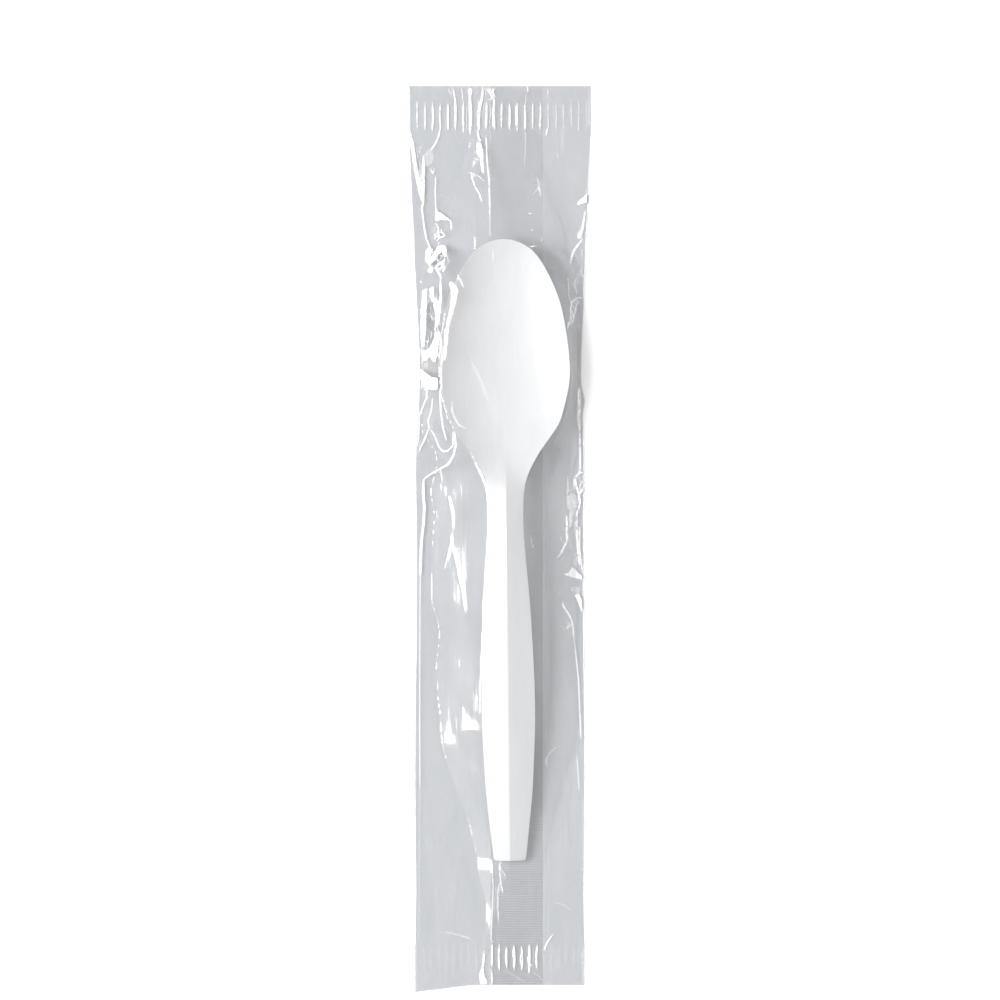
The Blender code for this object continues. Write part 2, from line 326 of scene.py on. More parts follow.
@dataclass(frozen=True)
class ClearFilm:
    """Clear wrapping film: each ply takes a little light and mirrors a little more, and it carries painted
    highlights on its creases, gleams and crumples.

    Args:
        tint: what a single ply lets through.
        fin_tint: what a ply of the welded fin lets through between its weld lines.
        weld_tint: what a ply of the fin lets through on a weld line.
        mirrored: the share that a ply mirrors when seen straight on.
        fin_mirrored: that share on the fin, whose plies are welded together.
        roughness: of the mirror.
        weld_pitch: from one weld line of the fin to the next, in metres.
        streak_height: how far the drawn streaks along the web stand proud, in millimetres.
        edge: how softly the painted highlights of creases and gleams end, in millimetres.
        ragged: how far the outline of a gleam's painted highlight strays, in millimetres.
        crackle_glint_cells: how many small creases with painted glints there are to the metre where the film is
            crumpled.
        haze_and_sheen: how milky the film is in its milkiest patches; its white is partly milkiness and partly
            painted sheen streaks.
    """

    tint: tuple[float, float, float] = (0.81, 0.816, 0.826)
    fin_tint: tuple[float, float, float] = (0.985, 0.985, 0.985)
    weld_tint: tuple[float, float, float] = (0.915, 0.915, 0.915)
    mirrored: float = 0.08
    fin_mirrored: float = 0.015
    roughness: float = 0.1
    weld_pitch: float = 0.0006
    streak_height: float = 0.03
    edge: float = 0.16
    ragged: float = 0.6
    crackle_glint_cells: float = 620.0
    haze_and_sheen: float = 0.07

    def build(self) -> bpy.types.Material:
        """Make the material."""
        shader = Shader.of_material("clear_film")
        place = shader.signal("ShaderNodeTexCoord", output="Object")
        along = shader.signal("ShaderNodeSeparateXYZ", inputs={"Vector": place}, output="Y")
        fin = shader.mask("fin")
        weld = along.wave(self.weld_pitch)
        streaks = shader.cloud(shader.place((1.0, 0.08, 1.0)), 900.0, 3.0)
        dimples = shader.cloud(shader.place((1.0, 0.5, 1.0)), 420.0, 2.0)
        height = streaks * self.streak_height + dimples * (self.streak_height * 1.5)
        normal = shader.bump(height + weld * fin * 0.01, MM)

        def clear(colour: tuple[float, float, float]) -> Signal:
            return shader.signal("ShaderNodeBsdfTransparent", inputs={"Color": (*colour, 1)})

        def mix(share: Signal, first: Signal, second: Signal) -> Signal:
            return shader.signal("ShaderNodeMixShader", inputs={0: share, 1: first, 2: second})

        welded = weld * (0.6 - along * 4.5).held()
        through = mix(fin, clear(self.tint), mix(welded, clear(self.fin_tint), clear(self.weld_tint)))
        grazing = shader.signal("ShaderNodeLayerWeight", inputs={"Blend": 0.5}, output="Facing")
        straight = self.mirrored + (self.fin_mirrored - self.mirrored) * fin
        share = straight + (1 - straight) * grazing**5
        gloss = shader.signal(
            "ShaderNodeBsdfGlossy",
            inputs={"Color": (1, 1, 1, 1), "Roughness": self.roughness, "Normal": normal},
        )
        # The white diffuse mixed in here is painted light: painted highlights, glints and sheen, with some
        # milkiness.
        white = shader.signal("ShaderNodeBsdfDiffuse", inputs={"Color": (0.95, 0.95, 0.95, 1)})
        return shader.finish(mix(self.painted_highlight_share(shader), mix(share, through, gloss), white))

    def painted_highlight_share(self, shader: Shader) -> Signal:
        """How much of the film is painted white: painted highlights on its creases and gleams, painted glints
        where it is crumpled, and milky patches with painted sheen.
        """
        fine = shader.cloud(shader.place((1.0, 0.6, 1.0)), 1500.0, 2.0)
        broken = ((fine - 0.36) * 9.0).held()
        # Painted highlights: bright lines along the creases and white gleams over flat facets.
        offset = shader.mask("crease_offset").maths("ABSOLUTE", shader.mask("crease_offset"))
        crease = ((shader.mask("crease_reach") - offset) * (1 / self.edge) + 0.5).held()
        crease = crease * (0.45 + 0.55 * broken) * shader.mask("crease_painted_highlight")
        outline = shader.mask("gleam_outline") + (fine - 0.5) * self.ragged
        gleam = (0.5 - outline * (1 / self.edge)).held() * shader.mask("gleam_painted_highlight")
        # Painted glints on the small creases of crumpled places.
        crackle_glint = shader.signal(
            "ShaderNodeTexVoronoi",
            {"feature": "DISTANCE_TO_EDGE"},
            {"Vector": shader.place((1.0, 0.55, 1.0)), "Scale": self.crackle_glint_cells, "Randomness": 1.0},
            output="Distance",
        )
        patchy = ((shader.cloud(shader.place((1.0, 0.5, 1.0)), 700.0, 1.0) - 0.4) * 5.0).held()
        crackle_glint = (1 - crackle_glint * 9.0).held() * patchy * shader.mask("crushed_glint")
        # Milky patches, and streaks along the web that are painted sheen.
        wide = shader.cloud(shader.place((1.0, 0.3, 1.0)), 170.0, 3.0)
        drawn = shader.cloud(shader.place((1.0, 0.06, 1.0)), 1100.0, 2.0)
        haze_and_sheen = ((wide - 0.35) * 2.2).held() * self.haze_and_sheen + ((drawn - 0.5) * 3.0).held() * (self.haze_and_sheen * 0.6)
        sharp = crease.maths("MAXIMUM", crease, gleam)
        return (sharp + crackle_glint * 0.8 + haze_and_sheen * shader.mask("front")).held()


# --- Meshes ------------------------------------------------------------------------------------------


def square_grid(columns: int, rows: int) -> tuple[bmesh.types.BMesh, np.ndarray, np.ndarray]:
    """Make a flat grid of quads.

    Args:
        columns: quads across.
        rows: quads along.

    Returns:
        The grid, and each vertex's column and row.
    """
    bm = bmesh.new()
    bmesh.ops.create_grid(bm, x_segments=columns, y_segments=rows, size=1)
    flat = np.array([vertex.co[:2] for vertex in bm.verts])
    column = np.rint((flat[:, 0] + 1) / 2 * columns).astype(int)
    row = np.rint((flat[:, 1] + 1) / 2 * rows).astype(int)
    return bm, column, row


def add_piece(name: str, bm: bmesh.types.BMesh, finish: bpy.types.Material) -> bpy.types.Object:
    """Turn a bmesh into a smooth-shaded object with its finish.

    Args:
        name: the piece's name.
        bm: its shape, which is freed.
        finish: its material.

    Returns:
        The object, linked to the scene.
    """
    mesh = bpy.data.meshes.new(name)
    bm.to_mesh(mesh)
    bm.free()
    mesh.shade_smooth()
    mesh.materials.append(finish)
    piece = bpy.data.objects.new(name, mesh)
    bpy.context.scene.collection.objects.link(piece)
    return piece


@dataclass
class Teaspoon:
    """The teaspoon: bowl, neck and two-facet handle in one moulding.

    Lengths run from the tip of the bowl along the axis, on the upper side.
    """

    length: float = 149.8
    wall: float = 1.2
    flare: float = 0.6
    turn: float = math.radians(0.6)
    tip: tuple[float, float] = (0.9, 72.3)
    tip_arc: float = 2.4
    widest_at: float = 32.0
    neck_at: float = 67.0
    corner_radius: float = 0.8
    rim_rounding: float = 0.35
    columns: int = 28
    tip_rows: int = 30
    heel_rows: int = 44
    handle_rows: int = 40
    half_widths: Curve = Curve((
        (0.0, 0.0), (1.2, 4.3), (7.3, 9.5), (19.3, 13.75), (32.0, 15.05), (43.0, 12.9), (52.6, 6.8),
        (57.5, 4.45), (61.0, 3.7), (67.0, 3.45), (91.5, 5.1), (112.5, 5.85), (129.5, 5.25), (149.8, 3.3),
    ))
    edge_heights: Curve = Curve((
        (0.0, 6.3), (30.0, 6.2), (48.0, 6.9), (60.0, 8.2), (72.0, 8.6), (95.0, 7.4), (125.0, 4.3), (149.8, 1.2),
    ))
    bowl_depths: Curve = Curve((
        (0.0, 0.0), (5.0, 2.4), (12.0, 4.1), (28.0, 5.0), (42.0, 3.9), (51.0, 1.8), (60.0, 0.0),
    ))
    ridge_heights: Curve = Curve(((50.0, 0.0), (62.0, 1.5), (72.0, 1.9), (113.0, 1.9), (149.8, 1.1)))
    ridge_sharpens: tuple[float, float] = (50.0, 60.0)

    def half_width(self, distance: np.ndarray) -> np.ndarray:
        """Half of the spoon's width at distances from the tip, with the end's corners rounded."""
        rooted = Curve(tuple((math.sqrt(at), half) for at, half in self.half_widths.knots))
        half = rooted(np.sqrt(np.maximum(distance, 0))) + self.flare
        into_corner = np.maximum(distance - (self.length - self.corner_radius), 0)
        reach = np.sqrt(np.maximum(self.corner_radius**2 - into_corner**2, 0))
        return half - (self.corner_radius - reach)

    def top(self, distance: np.ndarray, across: np.ndarray) -> np.ndarray:
        """Height of the upper side over the spoon's lowest point.

        Args:
            distance: from the tip.
            across: offset from the axis.

        Returns:
            The heights.
        """
        share = np.minimum(np.abs(across) / np.maximum(self.half_width(distance), 1e-6), 1)
        bowl = self.bowl_depths(distance) * (1 - share**2) ** 0.9
        return self.edge_heights(distance) + self.ridge_heights(distance) * (1 - share) - bowl

    def rim_rows(self) -> np.ndarray:
        """Distances of the rows along the rim, close together at the tip and the end."""
        tip = self.tip_arc + (self.widest_at - self.tip_arc) * np.linspace(0, 1, self.tip_rows) ** 1.4
        heel = np.linspace(self.widest_at, self.neck_at, self.heel_rows)[1:]
        handle_end = self.length - self.corner_radius
        handle = np.linspace(self.neck_at, handle_end, self.handle_rows)[1:]
        corner = handle_end + self.corner_radius * np.sin(np.radians([20, 40, 60, 90]))
        return np.concatenate([tip, heel, handle, corner])

    def build(self, finish: bpy.types.Material) -> bpy.types.Object:
        """Make the spoon where it lies in the pack.

        Args:
            finish: its material.

        Returns:
            The spoon.
        """
        rows = self.rim_rows()[::-1]
        bm, column, row = square_grid(self.columns, len(rows) - 1)
        share = 2 * column / self.columns - 1
        rim = rows[row]
        lag = self.tip_arc * np.maximum(1 - (rim - self.tip_arc) / (self.widest_at - self.tip_arc), 0) ** 2
        distance = rim - lag * (1 - share**2)
        across = share * self.half_width(rim)
        height = self.top(distance, across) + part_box("spoon")[0].z / MM
        x = self.tip[0] + across * math.cos(self.turn) + distance * math.sin(self.turn)
        y = self.tip[1] + across * math.sin(self.turn) - distance * math.cos(self.turn)
        for vertex, place in zip(bm.verts, np.stack([x, y, height], axis=1) * MM):
            vertex.co = place
        self.sharpen_ridge(bm, column, distance)
        self.thicken(bm)
        spoon = add_piece("teaspoon", bm, finish)
        smoothing = spoon.modifiers.new("smoothing", "SUBSURF")
        smoothing.levels = smoothing.render_levels = 1
        return spoon

    def sharpen_ridge(self, bm: bmesh.types.BMesh, column: np.ndarray, distance: np.ndarray) -> None:
        """Crease the edges of the middle column, from the heel of the bowl to the end."""
        crease = bm.edges.layers.float.new("crease_edge")
        sharp = ramp(distance, *self.ridge_sharpens)
        middle = column == self.columns // 2
        for edge in bm.edges:
            a, b = (vertex.index for vertex in edge.verts)
            if middle[a] and middle[b]:
                edge[crease] = float(min(sharp[a], sharp[b]))

    def thicken(self, bm: bmesh.types.BMesh) -> None:
        """Give the moulding its wall, below the upper side, and round its rim."""
        bmesh.ops.recalc_face_normals(bm, faces=bm.faces)
        top = list(bm.faces)
        if sum(face.normal.z for face in top) < 0:
            bmesh.ops.reverse_faces(bm, faces=top)
        under = bmesh.ops.extrude_face_region(bm, geom=top, use_keep_orig=True)["geom"]
        lowered = [item for item in under if isinstance(item, bmesh.types.BMVert)]
        bmesh.ops.translate(bm, vec=(0, 0, -self.wall * MM), verts=lowered)
        bmesh.ops.recalc_face_normals(bm, faces=bm.faces)
        rim = [edge for edge in bm.edges if edge.calc_face_angle(0) > math.radians(50)]
        bmesh.ops.bevel(
            bm,
            geom=rim,
            offset=self.rim_rounding * MM,
            segments=2,
            profile=0.5,
            affect="EDGES",
            material=-1,
            clamp_overlap=True,
        )


@dataclass(frozen=True)
class HighlitCrease:
    """A fine fold of the front ply, lifted a little in the mesh, with a painted highlight along it as a bright
    line.

    Args:
        path: the line.
        width: of the line in its middle. It thins towards both ends.
        bright: how bright its painted highlight shows, from 0 to 1.
    """

    path: Path2
    width: float = 0.35
    bright: float = 0.8


@dataclass(frozen=True)
class Gleam:
    """A flat place between folds that is painted white as a highlight, with its corners in order."""

    corners: Path2
    bright: float = 1.0


@dataclass(frozen=True)
class Crumple:
    """A place where the film is crumpled into small sharp facets, with painted glints on them."""

    centre: tuple[float, float]
    size: tuple[float, float]
    turn: float = 0.0
    cell: tuple[float, float] = (1.2, 2.0)
    steepness: float = 0.5
    seed: int = 1
    crushed_glint: float = 1.0


class End(Enum):
    """The pack's two ends, as signs along Y."""

    BOWL = 1
    HANDLE = -1


@dataclass(frozen=True)
class Crimp:
    """A crimped end seal.

    Args:
        edge: where the film is cut off.
        margin: from that edge to the ribs.
        ribs: how long the ribs are.
        land: from the ribs to where the plies part.
        first: where the first rib's middle is, across the pack.
        pitch: from rib to rib.
        strengths: how deeply the ribs are pressed, across the pack.
    """

    edge: float
    margin: float
    ribs: float
    land: float
    first: float
    pitch: float
    strengths: Curve

    def inner(self, end: End) -> float:
        """Where along Y the plies part."""
        return self.edge - end.value * (self.margin + self.ribs + self.land)


@dataclass
class FilmSleeve:
    """The film: one web, from the fin's lower ply round the pack to the fin's upper ply."""

    first_ply: float = 0.025
    ply_pitch: float = 0.05
    fold_radius: float = 0.3
    fully_folded_at: float = 2.0
    fin_root: float = -2.35
    fin_free: float = 10.4
    fin_step: float = 0.5
    front_columns: int = 184
    back_columns: int = 20
    fin_columns: int = 5
    fold_columns: int = 4
    rows: int = 420
    corner_drop: float = 1.9
    corner_drop_from: float = -7.0
    spoon_gap: float = 0.25
    round_spoon: float = 0.3
    hugging_slope: float = 0.85
    crease_lift: float = 0.05
    crease_foot: float = 0.4
    lying_share: float = 0.15
    rib_height: float = 0.07
    rib_flank: float = 0.3
    pillow_height: float = 0.05
    sharp_angle: float = math.radians(10)
    bulge: tuple[float, float, float] = (33.7, 2.6, 0.7)
    spoon: Teaspoon = field(default_factory=Teaspoon)
    bowl_end: Crimp = Crimp(109.55, 4.1, 6.5, 1.5, -19.94, 1.86, Curve((
        (-22.0, 0.5), (-19.0, 0.7), (-8.0, 0.9), (3.0, 0.8), (9.0, 0.7), (13.0, 0.3), (22.0, 0.25),
    )))
    handle_end: Crimp = Crimp(-107.65, 4.1, 5.6, 1.5, -20.04, 1.81, Curve((
        (-22.0, 0.08), (-4.0, 0.1), (-2.4, 0.9), (9.0, 0.9), (11.0, 0.12), (22.0, 0.12),
    )))

    def ply(self, number: float) -> float:
        """Height of a ply in the stack: 0 and 1 are the fin, 2 the back, 3 the front."""
        return self.first_ply + number * self.ply_pitch

    def crimp(self, end: End) -> Crimp:
        """The seal at an end."""
        return self.bowl_end if end is End.BOWL else self.handle_end

    def stations(self) -> np.ndarray:
        """Places of the web's rows along Y."""
        return np.linspace(self.handle_end.edge, self.bowl_end.edge, self.rows + 1)

    def outline(self, stations: np.ndarray) -> tuple[np.ndarray, np.ndarray]:
        """Read the pack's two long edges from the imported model.

        Args:
            stations: places along Y.

        Returns:
            The left and the right edge's places across, at each station.
        """
        tree = surface_of("film_sleeve")
        height, far = 0.12 * MM, 50 * MM
        inside = self.handle_end.edge + 0.2, self.bowl_end.edge - 0.2
        edges = []
        for side in (-1, 1):
            places = []
            for y in np.clip(stations, *inside):
                hit = tree.ray_cast((side * far, y * MM, height), (-side, 0, 0))[0]
                places.append(hit.x / MM)
            edges.append(np.array(places))
        at, length, out = self.bulge
        return edges[0], edges[1] + out * np.exp(-(((stations - at) / length) ** 2))

    def front(self, x: np.ndarray, y: np.ndarray, marks: "Marks") -> np.ndarray:
        """Height of the front ply: taut over the spoon, then slack, crumpled and creased.

        Args:
            x: places across, one row for each station.
            y: places along, of the same shape.
            marks: its creases.

        Returns:
            The heights.
        """
        low, high = (self.crimp(end).inner(end) for end in (End.HANDLE, End.BOWL))
        taut = heights_from_above("film_sleeve", x, y, self.ply(3))
        between = (y > low) & (y < high)
        taut = np.where(between, taut, self.ply(3))
        spoon = heights_from_above("spoon", x, y, 0.0)
        for _ in range(2):
            taut = np.maximum(blurred(taut), spoon + self.spoon_gap)
        taut = self.ply(3) + (taut - self.ply(3)) * self.hugging(x, y, taut.max(axis=1, keepdims=True))
        free = ramp(y, low - 1.0, low + 3.0) * ramp(-y, -high - 1.0, -high + 3.0)
        edge = np.minimum(x - x[:, :1], x[:, -1:] - x)
        free = free * ramp(edge, 0.0, 0.8)
        height = taut + self.waves(x, y) * free
        for crumple in CRUMPLES:
            height = height + crumpled(x, y, crumple) * free
        raised = np.clip(1 - (np.abs(marks.offset) - marks.reach) / self.crease_foot, 0, 1)
        height = height + self.crease_lift * raised * np.clip(marks.reach / self.crease_lift, 0, 1)
        return np.maximum(height, np.maximum(spoon + self.spoon_gap, self.ply(3)))

    def hugging(self, x: np.ndarray, y: np.ndarray, top: np.ndarray) -> np.ndarray:
        """How far the film drops from straight down to lying low beside the spoon.

        Args:
            x: places across, one row for each station.
            y: places along, of the same shape.
            top: the taut film's highest place at each station.

        Returns:
            The share of the taut film's height that is left: 1 over the spoon.
        """
        distance = self.spoon.tip[1] - y
        on_spoon = np.clip(distance, self.spoon.tip_arc, self.spoon.length - self.spoon.corner_radius)
        axis = self.spoon.tip[0] + distance * math.tan(self.spoon.turn)
        rim = self.spoon.half_width(on_spoon) + self.round_spoon
        edge = np.where(x < axis, axis - x[:, :1], x[:, -1:] - axis)
        t = np.clip((edge - np.abs(x - axis)) / np.maximum(edge - rim, 0.1), 1e-3, 1)
        run = top / self.hugging_slope * (1 + 0.15 * Noise((60.0, 9.0), 5)(x, y))
        start = np.clip(1 - run / np.maximum(edge - rim, 0.1), 0.1, 0.9)
        rise = np.clip((t - start) / (1 - start), 0, 1)
        return (self.lying_share * t + (1 - self.lying_share) * rise) / t

    def waves(self, x: np.ndarray, y: np.ndarray) -> np.ndarray:
        """The slack that is left all over the front ply."""
        coarse = Noise((5.0, 16.0), 3)(x, y) * 0.16
        drawn = Noise((1.4, 12.0), 4)(x, y) * 0.03
        return coarse + drawn

    def ribs(self, x: np.ndarray, y: np.ndarray) -> np.ndarray:
        """How far the crimps lift every ply."""
        lift = np.zeros_like(x)
        for end in End:
            crimp = self.crimp(end)
            outer = crimp.edge - end.value * crimp.margin
            inner = outer - end.value * crimp.ribs
            number = np.rint((x - crimp.first) / crimp.pitch)
            jitter = np.random.default_rng(7).uniform(-1, 1, (3, 64))
            pick = np.clip(number.astype(int) + 4, 0, 63)
            depth = end.value * (y - (inner + outer) / 2)
            depth = depth + 0.35 * jitter[0][pick]
            reach = crimp.ribs / 2 + 0.4 * jitter[1][pick]
            band = ramp(reach - np.abs(depth), -0.3, 0.8)
            wobble = 0.16 * Noise((0.9, 1.6), 11)(x, y)
            phase = (x + wobble - crimp.first) / crimp.pitch
            pillow = 0.5 + 0.5 * np.cos(2 * math.pi * phase)
            away = np.abs(phase - np.rint(phase)) * crimp.pitch
            ridge = np.maximum(1 - away / self.rib_flank, 0) * (1 + 0.5 * Noise((9.0, 1.3), 12)(x, y))
            strength = crimp.strengths(x) * (1 + 0.35 * jitter[2][pick])
            lift = lift + (self.rib_height * ridge * strength + self.pillow_height * pillow) * band
        return lift

    def build(self, finish: bpy.types.Material) -> bpy.types.Object:
        """Make the sleeve.

        Args:
            finish: its material.

        Returns:
            The film, with its masks.
        """
        y = self.stations()
        left, right = self.outline(y)
        open_share = self.openness(y)
        radius = 1.5 * self.ply_pitch + (self.fold_radius - 1.5 * self.ply_pitch) * open_share
        columns_x, columns_z, masks = self.path(y, left, right, radius)
        bm, column, row = square_grid(columns_x.shape[1] - 1, self.rows)
        along = np.repeat(y[:, None], columns_x.shape[1], axis=1)
        ribbed = columns_z + self.ribs(columns_x, along)
        along = along - self.dropped_corner(columns_x, along)
        place = np.stack([columns_x, along, ribbed], axis=2)[row, column] * MM
        self.write(bm, place, masks, (row, column))
        film = add_piece("film_wrap", bm, finish)
        film.data.set_sharp_from_angle(angle=self.sharp_angle)
        return film

    @staticmethod
    def write(
        bm: bmesh.types.BMesh,
        places: np.ndarray,
        masks: dict[str, np.ndarray],
        pick: tuple[np.ndarray, np.ndarray],
    ) -> None:
        """Move the grid's vertices to their places and give them their masks.

        Args:
            bm: the grid.
            places: a place in metres for each vertex.
            masks: values by row and column, by the mask's name.
            pick: each vertex's row and column.
        """
        for vertex, here in zip(bm.verts, places):
            vertex.co = here
        for name, values in masks.items():
            layer = bm.verts.layers.float.new(name)
            for vertex, value in zip(bm.verts, values[pick]):
                vertex[layer] = float(value)

    def crushed_glint(self, x: np.ndarray, y: np.ndarray) -> np.ndarray:
        """How strongly the painted glints of the crumples show: 1 in the middle of a crumple."""
        share = np.zeros(x.shape)
        for crumple in CRUMPLES:
            reach = local(x, y, crumple)[2]
            share = np.maximum(share, ramp(-reach, -1.25, -0.5) * crumple.crushed_glint)
        return share

    def rib_highlights(self) -> tuple[HighlitCrease, ...]:
        """Painted highlights along the flanks of both crimps' ribs, as bright lines."""
        rng = np.random.default_rng(17)
        creases = []
        for end in End:
            crimp = self.crimp(end)
            outer = crimp.edge - end.value * crimp.margin
            for x in np.arange(crimp.first, 21.2, crimp.pitch):
                start, stop, lean, bend = rng.uniform(-0.5, 0.5, 4)
                near = outer + end.value * start
                far = outer - end.value * (crimp.ribs + stop)
                path = ((x, near), (x + 0.3 * bend, (near + far) / 2), (x + 0.3 * lean, far))
                strength = float(crimp.strengths(x)) * rng.uniform(0.75, 1.1)
                creases.append(HighlitCrease(path, 0.2 + 0.3 * strength, min(strength, 1.0)))
        return tuple(creases)

    def openness(self, y: np.ndarray) -> np.ndarray:
        """How far the side folds are opened by the spoon, from 0 at the seals to 1."""
        low, high = (self.crimp(end).inner(end) for end in (End.HANDLE, End.BOWL))
        return ramp(y, low, low + 12.0) * ramp(-y, -high, -high + 12.0)

    def dropped_corner(self, x: np.ndarray, y: np.ndarray) -> np.ndarray:
        """How far the left corner of the handle's end was cut longer than the rest."""
        crimp = self.handle_end
        inner = crimp.inner(End.HANDLE)
        outward = np.clip((y - inner) / (crimp.edge - inner), 0, 1)
        slope = np.clip((self.corner_drop_from - x) / (self.corner_drop_from - x.min()), 0, 1)
        return self.corner_drop * slope * outward

    def path(
        self, y: np.ndarray, left: np.ndarray, right: np.ndarray, radius: np.ndarray
    ) -> tuple[np.ndarray, np.ndarray, dict[str, np.ndarray]]:
        """Lay the web's columns round the pack.

        Args:
            y: places of the rows along the pack.
            left: the pack's left edge at each row.
            right: the pack's right edge at each row.
            radius: of the side folds at each row.

        Returns:
            Places across and heights, each with a row for each station, and the masks by name.
        """
        rows = len(y)

        def flat(start: np.ndarray | float, end: np.ndarray | float, height: float, count: int) -> np.ndarray:
            t = np.linspace(0, 1, count, endpoint=False)[None, :]
            start, end = np.broadcast_to(start, rows)[:, None], np.broadcast_to(end, rows)[:, None]
            return np.stack([start + (end - start) * t, np.full((rows, count), height)], axis=2)

        def turn(side: int) -> np.ndarray:
            edge = (left if side < 0 else right) - side * radius
            angles = np.radians(np.linspace(-90, 90, self.fold_columns, endpoint=False))
            angles = angles if side < 0 else -angles
            x = edge[:, None] + side * radius[:, None] * np.cos(angles)
            z = self.ply(0) + radius[:, None] * (1 + np.sin(angles))
            return np.stack([x, z], axis=2)

        start, end = left + radius, right - radius
        t = np.linspace(0, 1, self.front_columns, endpoint=False)
        front_x = start[:, None] + (end - start)[:, None] * t
        front_y = np.repeat(y[:, None], self.front_columns, axis=1)
        marks = Marks.over(front_x, front_y, HIGHLIT_CREASES + self.rib_highlights())
        height = self.front(front_x, front_y, marks)
        fold_top = self.ply(0) + 2 * radius[:, None]
        near = np.minimum(front_x - start[:, None], end[:, None] - front_x)
        height = fold_top + (np.maximum(height, fold_top) - fold_top) * ramp(near, -0.05, 0.5)
        step, nip = self.fin_free + 2 * self.fin_step, self.ply_pitch
        pieces = [
            flat(self.fin_free, self.fin_root + nip, self.ply(0), self.fin_columns),
            flat(self.fin_root + nip, self.fin_root, self.ply(0), 1),
            flat(self.fin_root, start, self.ply(0), self.back_columns // 2),
            turn(-1),
            np.stack([front_x, height], axis=2),
            turn(1),
            flat(end, step, self.ply(0), self.back_columns // 2),
            flat(step - self.fin_step, self.fin_root + nip, self.ply(2), self.fin_columns * 2),
            flat(self.fin_root + nip, self.fin_root, self.ply(2), 1),
            flat(self.fin_root - self.ply_pitch / 2, self.fin_root, self.ply(1.5), 1),
            flat(self.fin_root, self.fin_free, self.ply(1), self.fin_columns),
            flat(self.fin_free, self.fin_free, self.ply(1), 1),
        ]
        laid = np.concatenate(pieces, axis=1)
        counts = [piece.shape[1] for piece in pieces]
        on_fin = np.repeat([1.0, 1, 0, 0, 0, 0, 0, 0, 0, 1, 1, 1], counts)
        masks = {"fin": np.repeat(on_fin[None, :], rows, axis=0)}
        before = sum(counts[:4])
        fields = {
            "crease_offset": (marks.offset, 9.0),
            "crease_reach": (marks.reach, -0.7),
            "crease_painted_highlight": (marks.bright, 0.0),
            "gleam_outline": (marks.outline, 9.0),
            "gleam_painted_highlight": (marks.painted_shine, 0.0),
            "crushed_glint": (self.crushed_glint(front_x, front_y), 0.0),
            "front": (np.ones(front_x.shape), 0.0),
        }
        for name, (values, elsewhere) in fields.items():
            masks[name] = np.full(laid.shape[:2], elsewhere)
            masks[name][:, before:before + self.front_columns] = values
        return laid[:, :, 0], laid[:, :, 1], masks


def surface_of(node: str) -> BVHTree:
    """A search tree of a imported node's surface."""
    return BVHTree.FromObject(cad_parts[node], bpy.context.evaluated_depsgraph_get())


def heights_from_above(node: str, x: np.ndarray, y: np.ndarray, missing: float) -> np.ndarray:
    """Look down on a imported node.

    Args:
        node: its name.
        x: places across.
        y: places along.
        missing: the height where there is nothing.

    Returns:
        The height of its upper side at each place.
    """
    tree = surface_of(node)
    start, down = 50 * MM, (0, 0, -1)
    heights = np.full(x.shape, missing)
    for index in np.ndindex(x.shape):
        hit = tree.ray_cast((x[index] * MM, y[index] * MM, start), down)[0]
        if hit is not None:
            heights[index] = hit.z / MM
    return heights


def blurred(height: np.ndarray) -> np.ndarray:
    """Smooth a sheet of heights with its neighbours, ends held."""
    for axis in (0, 1):
        near = np.moveaxis(height, axis, 0)
        inner = near[:-2] * 0.25 + near[1:-1] * 0.5 + near[2:] * 0.25
        height = np.moveaxis(np.concatenate([near[:1], inner, near[-1:]]), 0, axis)
    return height


def local(x: np.ndarray, y: np.ndarray, place: Crumple) -> tuple[np.ndarray, np.ndarray, np.ndarray]:
    """Coordinates about a place, and a mask that is 1 inside its rounded outline."""
    turn = math.radians(place.turn)
    dx, dy = x - place.centre[0], y - place.centre[1]
    u = dx * math.cos(turn) + dy * math.sin(turn)
    v = dy * math.cos(turn) - dx * math.sin(turn)
    reach = (np.abs(u / place.size[0]) ** 3 + np.abs(v / place.size[1]) ** 3) ** (1 / 3)
    return u, v, reach


def crumpled(x: np.ndarray, y: np.ndarray, crumple: Crumple) -> np.ndarray:
    """Small sharp folds in several directions, inside a crumple's outline."""
    u, v, reach = local(x, y, crumple)
    mask = ramp(-reach, -1.0, -0.6)
    rng = np.random.default_rng(crumple.seed)
    bend = 0.6 * Noise(crumple.cell, crumple.seed)(x, y)
    total = np.zeros_like(x)
    for _ in range(4):
        angle = rng.normal(0, 0.6)
        phase = rng.uniform(0, 1)
        size = rng.uniform(0.7, 1.6)
        turned = u / crumple.cell[0] * math.cos(angle) + v / crumple.cell[1] * math.sin(angle)
        wave = np.abs((turned / size + bend + phase) % 1 - 0.5) * 2
        total = total + wave * crumple.cell[0] * size / 2
    return total * mask * crumple.steepness / 2


def off_path(path: Path2, x: np.ndarray, y: np.ndarray) -> tuple[np.ndarray, np.ndarray, np.ndarray]:
    """Measure places against a path.

    Args:
        path: the path's points in order.
        x: places across.
        y: places along.

    Returns:
        How far each place is from the path, the same with a sign for its side, and the length of path
        up to the nearest point of it.
    """
    points = np.array(path)
    away, signed, run = np.full(x.shape, 1e9), np.zeros(x.shape), np.zeros(x.shape)
    done = 0.0
    for start, stop in zip(points[:-1], points[1:]):
        length = math.hypot(*(stop - start))
        direction = (stop - start) / length
        dx, dy = x - start[0], y - start[1]
        t = np.clip((dx * direction[0] + dy * direction[1]) / length, 0, 1)
        distance = np.hypot(dx - t * length * direction[0], dy - t * length * direction[1])
        side = np.sign(direction[0] * dy - direction[1] * dx)
        nearer = distance < away
        signed = np.where(nearer, side * distance, signed)
        run = np.where(nearer, done + t * length, run)
        away = np.minimum(away, distance)
        done += length
    return away, signed, run


